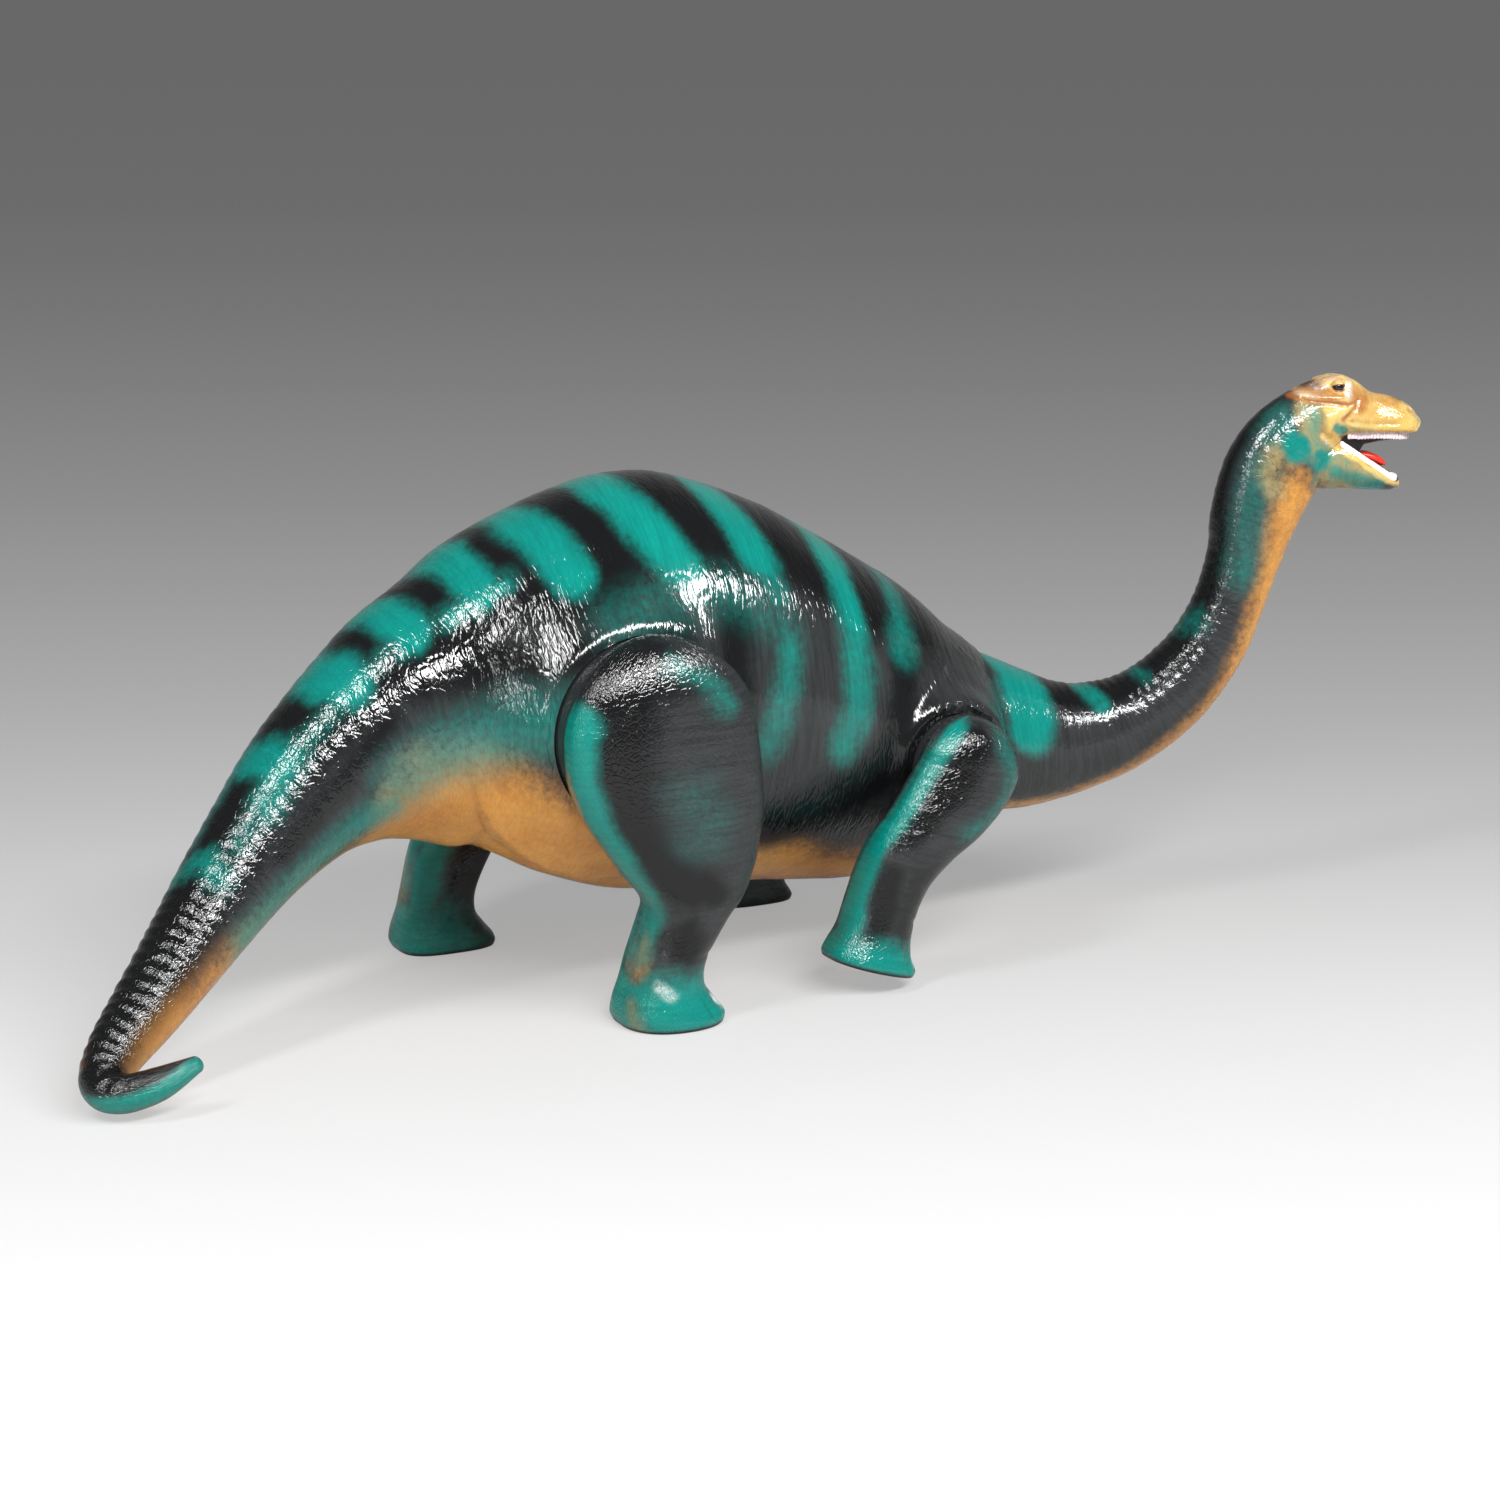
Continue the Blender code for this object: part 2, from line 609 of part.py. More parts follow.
def add_eyes(material, plane):
    """A bead in each eye socket."""
    for side, name in ((RIGHT, "right_eye"), (LEFT, "left_eye")):
        bm = bmesh.new()
        bmesh.ops.create_uvsphere(bm, u_segments=14, v_segments=10, radius=EYE_RADIUS,
                                  matrix=Matrix.Translation(eye_middle(side)))
        add_mesh(name, bm, material, plane)


def add_tooth_row(name, shares, length, mouth, turn, upward, material):
    """A horseshoe of teeth on a jaw's flat face, which starts at the corner of the mouth."""
    back, front, half_width = shares
    half_width *= HEAD_WIDTH / 2
    nose = half_width
    outline = []
    for radius, flip in ((half_width, 1), (half_width - TOOTH_THICKNESS, -1)):
        arc = []
        for i in range(ARC_STEPS + 1):
            angle = math.pi * i / ARC_STEPS - math.pi / 2
            arc.append((front * length - nose + radius * math.cos(angle), radius * math.sin(angle)))
        side = [(back * length, -radius)] + arc + [(back * length, radius)]
        outline += side[::flip]
    bm = bmesh.new()
    face = bm.faces.new([bm.verts.new((x, y, upward * FIT_GAP)) for x, y in outline])
    swept = bmesh.ops.extrude_face_region(bm, geom=[face])
    moved = [v for v in swept["geom"] if isinstance(v, bmesh.types.BMVert)]
    bmesh.ops.translate(bm, vec=(0.0, 0.0, upward * TOOTH_HEIGHT), verts=moved)
    bmesh.ops.rotate(bm, cent=(0, 0, 0), matrix=Matrix.Rotation(turn, 3, "Y"), verts=bm.verts)
    add_mesh(name, bm, material, mouth)


def add_mouth_pieces(mouth, tooth_material, tongue_material):
    """Both rows of teeth and the tongue."""
    upper_length = NECK_REACH * (1 - MOUTH_CORNER_SHARES[0])
    gape = math.radians(JAW_GAPE_DEGREES)
    lower_length = NECK_REACH * (JAW_SHARES[-1][0] - MOUTH_CORNER_SHARES[0]) / math.cos(gape)
    add_tooth_row("upper_teeth", UPPER_TOOTH_SHARES, upper_length, mouth, 0.0, -1, tooth_material)
    add_tooth_row("lower_teeth", LOWER_TOOTH_SHARES, lower_length, mouth, gape, 1, tooth_material)
    bm = bmesh.new()
    size = Matrix.Diagonal((TONGUE_LENGTH / 2, TONGUE_WIDTH / 2, TONGUE_HEIGHT / 2, 1.0))
    rest = Matrix.Translation((lower_length * TONGUE_PLACE_SHARE, 0.0, TONGUE_HEIGHT / 2 + FIT_GAP))
    bmesh.ops.create_uvsphere(bm, u_segments=16, v_segments=10, radius=1.0,
                              matrix=Matrix.Rotation(gape, 4, "Y") @ rest @ size)
    add_mesh("tongue", bm, tongue_material, mouth)


def leg_rows(leg):
    """Height, rear edge, front edge, inner side and outer side of each station, from the top down."""
    rows = []
    start = leg["start"]
    for degrees, outer in LOBE_DEGREES_AND_SHARES:
        angle = math.radians(degrees)
        half = leg["lobe"] * math.cos(angle)
        rows.append((leg["lobe"] * math.sin(angle), -half, half, start, start + outer * leg["thickness"]))
    for height, rear, front, inner, outer in leg["shares"]:
        shift = leg["stride"] * min(-height / STRIDE_REACH_SHARE, 1.0)
        rows.append((
            height * leg["length"],
            rear * leg["lobe"] + shift,
            front * leg["lobe"] + shift,
            start + inner * leg["thickness"],
            start + outer * leg["thickness"],
        ))
    return rows


def leg_rings(leg, rows, inset, count):
    """Sections of a leg in its pivot's frame, drawn in by inset: nearly flat inside and domed outside."""
    rings = []
    for height, rear, front, inner, outer in rows:
        half_length = (front - rear) / 2 - inset
        half_width = (outer - inner) / 2 - inset
        ring = []
        for i in range(count):
            angle = 2 * math.pi * i / count
            across = math.sin(angle)
            power = DOME_SHARE if across > 0 else FLAT_SHARE
            across = math.copysign(abs(across) ** power, across)
            along = math.copysign(abs(math.cos(angle)) ** power, math.cos(angle))
            y = (inner + outer) / 2 + half_width * across
            ring.append(Vector(((rear + front) / 2 + half_length * along, leg["side"] * y, height)))
        rings.append(ring)
    return rings


def build_leg(leg, material, frame):
    """A hollow leg: a round hub that turns in its socket, a domed thigh, a shank and a flat sole."""
    side = leg["side"]
    rows = leg_rows(leg)
    rings = leg_rings(leg, rows, 0.0, LIMB_RING_POINTS)
    shell = add_mesh(f"{leg['name']}_leg_shell", loft(rings, flat_end=True), material, frame)
    face = leg["face"] + FIT_GAP
    hub_end = leg["start"] + leg["thickness"] * HUB_REACH_SHARE
    hub = add_cylinder(f"{leg['name']}_hub", leg["hub"], side * face, side * hub_end, frame=frame,
                       steps=HUB_STEPS)
    combine(shell, hub, "UNION")

    hollow_rings = leg_rings(leg, rows[2:-3], WALL, LIMB_RING_POINTS - 6)
    hollow = add_mesh(f"{leg['name']}_leg_hollow", loft(hollow_rings, flat_start=True), frame=frame)
    core = add_cylinder(f"{leg['name']}_hub_hollow", leg["hub"] - WALL, side * (face + JOINT_WALL),
                        side * (hub_end - WALL), frame=frame)
    combine(hollow, core, "UNION")
    throat = add_cylinder(f"{leg['name']}_throat", leg["hub"] * THROAT_SHARE, side * (hub_end - 2 * WALL),
                          side * (hub_end + WALL), frame=frame)
    combine(hollow, throat, "UNION")
    combine(shell, hollow, "DIFFERENCE")
    bore = add_cylinder(f"{leg['name']}_leg_bore", leg["shank"] + FIT_GAP, side * (face - CUT_OVERRUN),
                        side * (face + CUT_OVERRUN), frame=frame)
    combine(shell, bore, "DIFFERENCE")


def add_plug(name, shank, frame, material, washer_material):
    """A snap plug along its frame's Z, which starts at the body's joint face, and the ring behind it."""
    inside = -(JOINT_WALL + FIT_GAP)
    ring_back = inside - WASHER_THICKNESS
    head = ring_back - FIT_GAP
    seat = FIT_GAP + JOINT_WALL + FIT_GAP
    plug = [
        (0.0, seat + FLANGE_THICKNESS),
        (FLANGE_SHARE * shank, seat + FLANGE_THICKNESS),
        (FLANGE_SHARE * shank, seat),
        (shank, seat),
        (shank, head),
        (HEAD_SHARE * shank, head),
        (HEAD_SHARE * shank, head - FLANGE_THICKNESS),
        (TIP_SHARE * shank, head - HEAD_LENGTH_SHARE * shank),
        (0.0, head - HEAD_LENGTH_SHARE * shank),
    ]
    add_turned(f"{name}_plug", plug, False, frame, material)
    ring = [
        (RIM_SHARE * shank, inside),
        (RIM_SHARE * shank, ring_back),
        (shank + FIT_GAP, ring_back),
        (shank + FIT_GAP, inside),
    ]
    return add_turned(f"{name}_washer", ring, True, None, washer_material)


def main():
    """Builds the whole figure."""
    body_paint = make_material("body_paint", (0.02, 0.22, 0.19), 0.22)
    neck_paint = make_material("neck_paint", (0.02, 0.22, 0.19), 0.22)
    leg_paint = make_material("leg_paint", (0.03, 0.16, 0.14), 0.22)
    plug_plastic = make_material("plug_plastic", (0.72, 0.70, 0.64), 0.4)
    ring_plastic = make_material("ring_plastic", (0.55, 0.55, 0.52), 0.45)
    tooth_paint = make_material("tooth_paint", (0.85, 0.82, 0.76), 0.3)
    tongue_paint = make_material("tongue_paint", (0.62, 0.06, 0.03), 0.3)
    eye_paint = make_material("eye_paint", (0.01, 0.01, 0.01), 0.08)

    build_body(body_paint)

    neck_axis = add_empty("neck_axis", Matrix.Translation(NECK_SEAT) @ NECK_TURN)
    plane, mouth = build_neck(neck_paint, neck_axis)[1:]
    add_eyes(eye_paint, plane)
    add_mouth_pieces(mouth, tooth_paint, tongue_paint)
    washer = add_plug("neck", NECK_SHANK_RADIUS, neck_axis, plug_plastic, ring_plastic)
    washer.matrix_world = Matrix.Translation(NECK_SEAT) @ NECK_TURN

    for leg in LEGS:
        outward = Matrix.Rotation(-leg["side"] * math.pi / 2, 4, "X")
        place = Matrix.Translation(leg["pivot"])
        frame = add_empty(f"{leg['name']}_axis", place @ Matrix.Rotation(leg["turn"], 4, "Y"))
        build_leg(leg, leg_paint, frame)
        seat = Matrix.Translation((0.0, leg["side"] * leg["face"], 0.0)) @ outward
        plug_frame = add_empty(f"{leg['name']}_plug_axis", Matrix.Identity(4))
        plug_frame.parent = frame
        plug_frame.matrix_local = seat
        washer = add_plug(leg["name"], leg["shank"], plug_frame, plug_plastic, ring_plastic)
        washer.matrix_world = place @ seat


main()
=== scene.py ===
import math

import bmesh
import bpy
import numpy as np
from mathutils import Matrix, Vector, kdtree


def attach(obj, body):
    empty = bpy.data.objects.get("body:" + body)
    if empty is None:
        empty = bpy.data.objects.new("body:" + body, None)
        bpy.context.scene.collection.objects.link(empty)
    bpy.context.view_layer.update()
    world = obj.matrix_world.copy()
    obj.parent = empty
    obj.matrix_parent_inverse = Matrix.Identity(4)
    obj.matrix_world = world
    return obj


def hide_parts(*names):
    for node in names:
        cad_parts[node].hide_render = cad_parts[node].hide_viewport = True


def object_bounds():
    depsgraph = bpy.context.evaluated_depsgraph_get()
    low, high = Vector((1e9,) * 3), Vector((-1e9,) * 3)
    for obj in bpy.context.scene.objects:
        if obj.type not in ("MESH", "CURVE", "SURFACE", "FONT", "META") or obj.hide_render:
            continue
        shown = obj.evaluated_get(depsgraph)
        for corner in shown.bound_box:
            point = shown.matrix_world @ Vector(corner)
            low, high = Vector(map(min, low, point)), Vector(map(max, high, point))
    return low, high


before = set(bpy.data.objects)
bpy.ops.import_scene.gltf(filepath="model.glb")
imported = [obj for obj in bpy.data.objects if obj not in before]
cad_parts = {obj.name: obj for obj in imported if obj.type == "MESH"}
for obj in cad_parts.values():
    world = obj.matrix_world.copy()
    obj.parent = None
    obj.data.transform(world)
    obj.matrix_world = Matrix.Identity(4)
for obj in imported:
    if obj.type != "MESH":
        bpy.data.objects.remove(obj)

cad_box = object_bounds()
scene = bpy.context.scene

# Torso and tail
# One hollow moulding of soft vinyl, skinned here through the solid's own sections at a fraction of a
# millimetre. Wrinkles, ribs and the raised skin round each leg are moved out of that skin in mesh code.

# Middle x, y, z, half height, half width, tilt and heading in degrees, in millimetres, from neck to tail tip
BODY_SECTIONS = np.array((
    (97.5, 0, 67.01, 29.81, 28.94, 8, -18),
    (89.4, 0, 66.79, 34.56, 32.94, 4, -11),
    (75.58, 0, 68.45, 41.76, 39.53, 1, -5),
    (55.43, 0, 74, 51.41, 47.52, 0, 0),
    (31.53, 0, 81.32, 58.75, 51.95, 0, 0),
    (1.52, 0, 91.05, 65.23, 54, 0, 0),
    (-28.51, 0, 96.88, 69.55, 54, 0, 0),
    (-50.43, 0, 98.18, 68.4, 52.92, 0, 0),
    (-71.56, 0, 98.75, 62.06, 49.03, 0, 0),
    (-86.57, 0, 99.51, 55.44, 45.04, 0, 1),
    (-100, 0, 98.79, 48.82, 40.5, 2, 3),
    (-111.65, -1.69, 94.12, 43.63, 35.86, 6, 7),
    (-123.84, -3.38, 91.08, 38.16, 31.86, 12, 10),
    (-134.39, -5.29, 86.92, 32.69, 28.3, 18, 12),
    (-145.07, -7.79, 82.17, 27.94, 25.06, 24, 15),
    (-158.36, -11.17, 74.29, 23.33, 21.6, 31, 19),
    (-174.12, -16.76, 61.41, 18.86, 18.14, 36, 24),
    (-188.78, -24.11, 48.67, 16.13, 15.66, 38, 30),
    (-203.98, -33.52, 35.51, 13.54, 13.18, 36, 34),
    (-219.6, -44.47, 23.43, 11.09, 10.91, 34, 36),
    (-230.56, -53.07, 15.9, 9.07, 8.96, 32, 42),
    (-236.32, -59.24, 10.85, 7.49, 7.45, 25, 64),
    (-237, -65.05, 8.54, 6.48, 6.48, 6, 112),
    (-231.66, -70.05, 8.75, 5.76, 5.72, -12, 147),
    (-222.75, -72.76, 11.44, 4.9, 4.97, -22, 166),
    (-213.03, -73.5, 15.47, 2.7, 2.6, -26, 174),
))
BODY_TUCK = 0.16
SHARP = math.radians(50)
PAINTS = ("teal", "black", "earth", "gold", "umber", "worn")


def along(rows, t):
    """Rows read along a smooth curve through the given rows, at places t counted in rows."""
    i = np.clip(np.floor(t).astype(int), 0, len(rows) - 2)
    f = (t - i)[:, None]
    before, first = rows[np.maximum(i - 1, 0)], rows[i]
    second, after = rows[i + 1], rows[np.minimum(i + 2, len(rows) - 1)]
    slope_in, slope_out, rise = (second - before) / 2, (after - first) / 2, second - first
    return (first + slope_in * f + (3 * rise - 2 * slope_in - slope_out) * f ** 2
            + (slope_in + slope_out - 2 * rise) * f ** 3)


def evenly(rows, step):
    """Rows at even steps of length along their middles, with the length to each."""
    t = np.linspace(0, len(rows) - 1, 40 * (len(rows) - 1) + 1)
    middles = along(rows, t)[:, :3]
    lengths = np.concatenate([[0], np.cumsum(np.linalg.norm(np.diff(middles, axis=0), axis=1))])
    wanted = np.linspace(0, lengths[-1], int(round(lengths[-1] / step)) + 1)
    return along(rows, np.interp(wanted, lengths, t)), wanted


def oval_skin(rows, degrees, tuck=0.0):
    """Points of oval sections, with degrees running from the top down the right side."""
    c, s = np.cos(np.radians(degrees)), np.sin(np.radians(degrees))
    tilt, heading = np.radians(rows[:, 5]), np.radians(rows[:, 6])
    up = np.stack([-np.sin(tilt) * np.cos(heading), -np.sin(tilt) * np.sin(heading), np.cos(tilt)], 1)
    left = np.stack([-np.sin(heading), np.cos(heading), 0 * heading], 1)
    across = -s * np.where(c < 0, 1 - tuck * c * c, 1)
    return (rows[:, None, :3] + up[:, None] * (rows[:, 3:4] * c)[:, :, None]
            + left[:, None] * (rows[:, 4:5] * across)[:, :, None])


def patchy(u, v, seed, wrap=0):
    """Smooth random relief from -1 to 1 over cells of size 1. wrap is the number of cells round the piece."""
    cells = np.random.default_rng(seed).uniform(-1, 1, (64, 64))
    i, j = np.floor(u).astype(int), np.floor(v).astype(int)
    fu, fv = u - i, v - j
    fu, fv = fu * fu * (3 - 2 * fu), fv * fv * (3 - 2 * fv)
    j, k = (j % wrap, (j + 1) % wrap) if wrap else (j, j + 1)
    low = cells[i % 64, j % 64] * (1 - fu) + cells[(i + 1) % 64, j % 64] * fu
    high = cells[i % 64, k % 64] * (1 - fu) + cells[(i + 1) % 64, k % 64] * fu
    return low * (1 - fv) + high * fv


def creases(u, v, seed, wrap=0):
    """Rounded skin between narrow creases: 0 on the skin and -1 in a crease."""
    return -(1 - np.abs(patchy(u, v, seed, wrap))) ** 4


def outward(points, flip=1):
    """Outward direction at each point of a closed skin."""
    n = np.cross(np.gradient(points, axis=0), np.roll(points, -1, 1) - np.roll(points, 1, 1))
    return flip * n / (np.linalg.norm(n, axis=2, keepdims=True) + 1e-12)


def near(value, middle, spread):
    """A soft hill of height 1."""
    return np.exp(-((value - middle) / spread) ** 2)


def ramp(value, low, high):
    """0 below low, 1 above high, smooth between."""
    t = np.clip((value - low) / (high - low), 0, 1)
    return t * t * (3 - 2 * t)


def kept_inside(points):
    """Points kept within the solids' own box, in millimetres."""
    low, high = np.array(cad_box[0]) * 1000 + 0.06, np.array(cad_box[1]) * 1000 - 0.06
    low[2] = 0.0
    return np.clip(points, low, high)


def rounded_end(points, steps=5, reach=0.5):
    """Rings that close a skin's last ring with a small dome."""
    ring, before = points[-1], points[-2]
    middle = ring.mean(0)
    away = middle - before.mean(0)
    away /= np.linalg.norm(away)
    radius = np.linalg.norm(ring - middle, axis=1).mean()
    turns = np.radians(np.linspace(0, 84, steps + 1)[1:])
    rings = [middle + (ring - middle) * math.cos(t) + away * radius * reach * math.sin(t) for t in turns]
    return np.concatenate([points, np.array(rings)])


def skin_mesh(name, points, lengths, materials):
    """A closed mesh through rings of points in millimetres. Its UV map holds metres along and round it."""
    rings, count = points.shape[:2]
    poles = np.array([points[0].mean(0), points[-1].mean(0)])
    places = np.concatenate([points.reshape(-1, 3), poles]) / 1000
    i = np.arange(rings - 1)[:, None] * count
    j = np.arange(count)[None]
    k = (j + 1) % count
    quads = np.stack([i + j, i + k, i + count + k, i + count + j], 2).reshape(-1, 4)
    last = (rings - 1) * count
    j, k = j[0], k[0]
    first_fan = np.stack([k, j, np.full(count, rings * count)], 1)
    last_fan = np.stack([last + j, last + k, np.full(count, rings * count + 1)], 1)
    u = np.concatenate([np.repeat(lengths, count), [lengths[0], lengths[-1]]]) / 1000
    v = np.arange(count + 1) / count
    radius = np.linalg.norm(points - points.mean(1, keepdims=True), axis=2).mean(1)
    girth = 2 * math.pi * float(np.median(radius)) / 1000
    quad_v = np.stack([v[:-1], v[1:], v[1:], v[:-1]], 1)
    loop_v = np.concatenate([np.tile(quad_v, (rings - 1, 1)).reshape(-1),
                             np.stack([v[1:], v[:-1], (v[1:] + v[:-1]) / 2], 1).reshape(-1),
                             np.stack([v[:-1], v[1:], (v[1:] + v[:-1]) / 2], 1).reshape(-1)]) * girth
    loop_u = np.concatenate([u[quads].reshape(-1), u[first_fan].reshape(-1), u[last_fan].reshape(-1)])
    six = np.einsum("ij,ij->", places[quads[:, 0]], np.cross(places[quads[:, 1]], places[quads[:, 2]]))
    faces = [quads, first_fan, last_fan]
    mesh = bpy.data.meshes.new(name)
    mesh.from_pydata(places.tolist(), [], [f for block in faces for f in block.tolist()])
    uv = mesh.uv_layers.new(name="skin")
    uv.data.foreach_set("uv", np.stack([loop_u, loop_v], 1).astype(np.float32).reshape(-1))
    if six < 0:
        mesh.flip_normals()
    for material in materials:
        mesh.materials.append(material)
    mesh.shade_smooth()
    thing = bpy.data.objects.new(name, mesh)
    scene.collection.objects.link(thing)
    return thing


def settle(thing):
    """Turns what a piece's modifiers give into its plain mesh."""
    bpy.context.view_layer.update()
    depsgraph = bpy.context.evaluated_depsgraph_get()
    mesh = bpy.data.meshes.new_from_object(thing.evaluated_get(depsgraph))
    old = thing.data
    thing.modifiers.clear()
    thing.data = mesh
    bpy.data.meshes.remove(old)
    return thing


def carve(thing, cutter, operation="DIFFERENCE"):
    """Cuts or joins a piece with another exactly, and drops that other."""
    cut = thing.modifiers.new("cut", "BOOLEAN")
    cut.object, cut.operation, cut.solver = cutter, operation, "EXACT"
    settle(thing)
    bpy.data.objects.remove(cutter, do_unlink=True)
    return thing


def places_of(mesh):
    """A mesh's points in millimetres."""
    places = np.empty(len(mesh.vertices) * 3)
    mesh.vertices.foreach_get("co", places)
    return places.reshape(-1, 3) * 1000


def add_covers(mesh, **covers):
    """Stores how much of each paint each point has, and none of a paint that isn't named."""
    for paint in PAINTS:
        values = np.zeros(len(mesh.vertices)) + covers.get(paint, 0)
        mesh.attributes.new(paint, "FLOAT", "POINT").data.foreach_set("value", values.astype(np.float32))


def sprayed(along_mm, degrees, radius, strokes):
    """How much of a paint each point has from soft strokes: half width, softness, strength and path."""
    cover = np.zeros(len(along_mm))
    for half_width, soft, strength, path in strokes:
        far = np.full(len(along_mm), 1e9)
        path = path if len(path) > 1 else path + path
        for (s0, a0), (s1, a1) in zip(path, path[1:]):
            arc = radius * math.pi / 180
            dx, dy = along_mm - s0, (degrees - a0) * arc
            ex, ey = s1 - s0, (a1 - a0) * arc
            t = np.clip((dx * ex + dy * ey) / (ex * ex + ey * ey + 1e-9), 0, 1)
            far = np.minimum(far, np.hypot(dx - t * ex, dy - t * ey))
        cover = np.maximum(cover, strength * ramp(half_width - far, -soft / 2, soft / 2))
    return cover


def once_round(count, start=-180):
    """Degrees at even steps once round a piece."""
    return np.arange(count) * (360 / count) + start


def skin_grid(lengths, degrees):
    """Length along, degrees round and share of a turn at each point of a skin."""
    along_mm = np.repeat(lengths[:, None], len(degrees), 1)
    turned = np.repeat(degrees[None], len(lengths), 0)
    return along_mm, turned, (turned + 180) / 360


def skin_values(points, lengths, degrees):
    """Length along, degrees round and mean radius at each point of a skin and at its two end points."""
    spread = np.linalg.norm(points - points.mean(1, keepdims=True), axis=2).mean(1)
    return (np.concatenate([np.repeat(lengths, len(degrees)), lengths[[0, -1]]]),
            np.concatenate([np.tile(degrees, len(lengths)), [180, 0]]),
            np.concatenate([np.repeat(spread, len(degrees)), spread[[0, -1]]]))


def cutter_from(bm, name, materials):
    """A cutter made of closed forms. What it cuts takes the second material."""
    bmesh.ops.recalc_face_normals(bm, faces=bm.faces)
    for face in bm.faces:
        face.material_index = 1
    mesh = bpy.data.meshes.new(name)
    bm.to_mesh(mesh)
    bm.free()
    for material in materials:
        mesh.materials.append(material)
    cutter = bpy.data.objects.new(name, mesh)
    scene.collection.objects.link(cutter)
    return cutter


def carry_over(mesh, old_places, *values):
    """Values of the nearest of a skin's first points, for a mesh that has been cut."""
    tree = kdtree.KDTree(len(old_places))
    for i, place in enumerate(old_places.tolist()):
        tree.insert(place, i)
    tree.balance()
    found = np.array([tree.find(place)[1] for place in places_of(mesh).tolist()])
    return [value[found] for value in values]


body_rows, body_length = evenly(BODY_SECTIONS, 0.75)
body_degrees = once_round(150)
body_points = oval_skin(body_rows, body_degrees, BODY_TUCK)
s_body, a_body, v_body = skin_grid(body_length, body_degrees)

# The skin swells out to meet each leg: pivot x and z, hub radius, reach, depth and bulge, and socket face
HIP = (-58.525, 93.5, 30.8, 39.4, 43.5, 18.5, 44.4)
SHOULDER = (54.2475, 70.5, 16.6, 27.4, 36.2, 19.9, 41.7)
SOCKET_GAP = 0.6
ROUND_SHARE, SLOPE_GAIN, BLEND, BLEND_REACH, SPINE_HALF = 0.88, 1.4, 3.0, 1.35, 12
calm = np.zeros(s_body.shape)
for x, z, hub, reach, sunk, bulge, face in (HIP, SHOULDER):
    r = np.hypot(body_points[:, :, 0] - x, body_points[:, :, 2] - z)
    turn = np.degrees(np.arctan2(body_points[:, :, 2] - z, body_points[:, :, 0] - x))
    edge = ROUND_SHARE * reach
    top = bulge * np.sqrt(np.clip(1 - (np.minimum(r, edge) / reach) ** 2, 0, 1))
    fall = bulge * ROUND_SHARE / math.sqrt(1 - ROUND_SHARE ** 2) / reach
    top -= np.maximum(r - edge, 0) * fall * SLOPE_GAIN
    swell = sunk + top
    if x < 0:
        swell -= 1.6 * (1 - ramp(r, hub + 0.9, hub + 4.4))
        front = near(turn, 14, 26)
        swell += 1.3 * near(r, 38.0, 1.6) * front - 1.6 * near(r, 35.4, 1.0) * front
    else:
        over = ramp(turn, 5, 40) * (1 - ramp(turn, 150, 178))
        swell -= 1.5 * (1 - ramp(r, hub + 0.9, hub + 3.1))
        swell += 2.6 * near(r, 21.2, 2.5) * over - 1.3 * near(r, 26.4, 2.2) * over
    side = np.abs(body_points[:, :, 1])
    calm = np.maximum(calm, near(r, hub + 1.5, 4.5))
    blend = np.clip((swell - side) / BLEND, -8, 8)
    joined = side + BLEND * np.log1p(np.exp(blend)) * (r < reach * BLEND_REACH)
    joined *= np.sign(body_points[:, :, 1])
    body_points[:, :, 1] = np.where(side > SPINE_HALF, joined, body_points[:, :, 1])

top_skin = 1 - ramp(np.abs(a_body), 55, 105)
under_skin = ramp(np.abs(a_body), 105, 135)
tail_part = ramp(s_body, 205, 250)
wander = patchy(s_body / 16, v_body * 14, 3, 14)
relief = 0.15 * patchy(s_body / 9.5, v_body * 8, 5, 8) * (1 - 0.6 * tail_part)
netting = creases(s_body / 5.6 + 0.5 * wander, v_body * 11 + 0.3 * wander, 8, 11)
relief += 0.09 * netting * (1 - 0.5 * under_skin)
ridges = creases(s_body / 4.4 + 0.9 * wander, v_body * 6 + 0.5 * wander, 15, 6)
relief += 0.12 * ridges * (1 - 0.6 * tail_part) * (0.45 + 0.55 * top_skin)
ribs = np.sin(2 * math.pi * (s_body + 1.6 * wander) / 4.7)
ribbed = top_skin * (0.3 + 0.7 * tail_part) * (1 + ramp(s_body, 300, 335)) * (1 - ramp(s_body, 385, 405))
relief += 0.08 * ribs * ribbed
relief *= ramp(s_body, 0, 6) * (1 - 0.6 * ramp(s_body, 395, 412)) * (1 - 0.8 * calm)
body_points += outward(body_points) * relief[:, :, None]
body_points[0] = body_points[0].mean(0) + (body_points[0] - body_points[0].mean(0)) * 0.985
body_points = kept_inside(rounded_end(body_points, reach=0.8))
body_length = np.concatenate([body_length, body_length[-1] + np.arange(1, 6) * 0.4])


# Sprayed paints over dark vinyl under one glossy lacquer. The covers stored on each skin say where a paint
# lies, and a few also hold painted shade and painted highlight; the groups break their edges as a spray does,
# and press fine wrinkles into the skin, whose creases are darkened as painted shade.


def add_node(tree, kind, inputs=None, **settings):
    """A node with its settings, and its inputs set to values or linked to other nodes' results."""
    node = tree.nodes.new(kind)
    for name, value in settings.items():
        setattr(node, name, value)
    for key, value in (inputs or {}).items():
        if isinstance(value, bpy.types.NodeSocket):
            tree.links.new(value, node.inputs[key])
        else:
            node.inputs[key].default_value = value
    return node


def math_node(tree, operation, first, second, clamp=False):
    """A Math node's result."""
    node = add_node(tree, "ShaderNodeMath", {0: first, 1: second}, operation=operation, use_clamp=clamp)
    return node.outputs[0]


def step_node(tree, value, low, high, to_low=0.0, to_high=1.0):
    """A smooth Map Range of a value."""
    inputs = {"Value": value, "From Min": low, "From Max": high, "To Min": to_low, "To Max": to_high}
    return add_node(tree, "ShaderNodeMapRange", inputs, interpolation_type="SMOOTHSTEP").outputs[0]


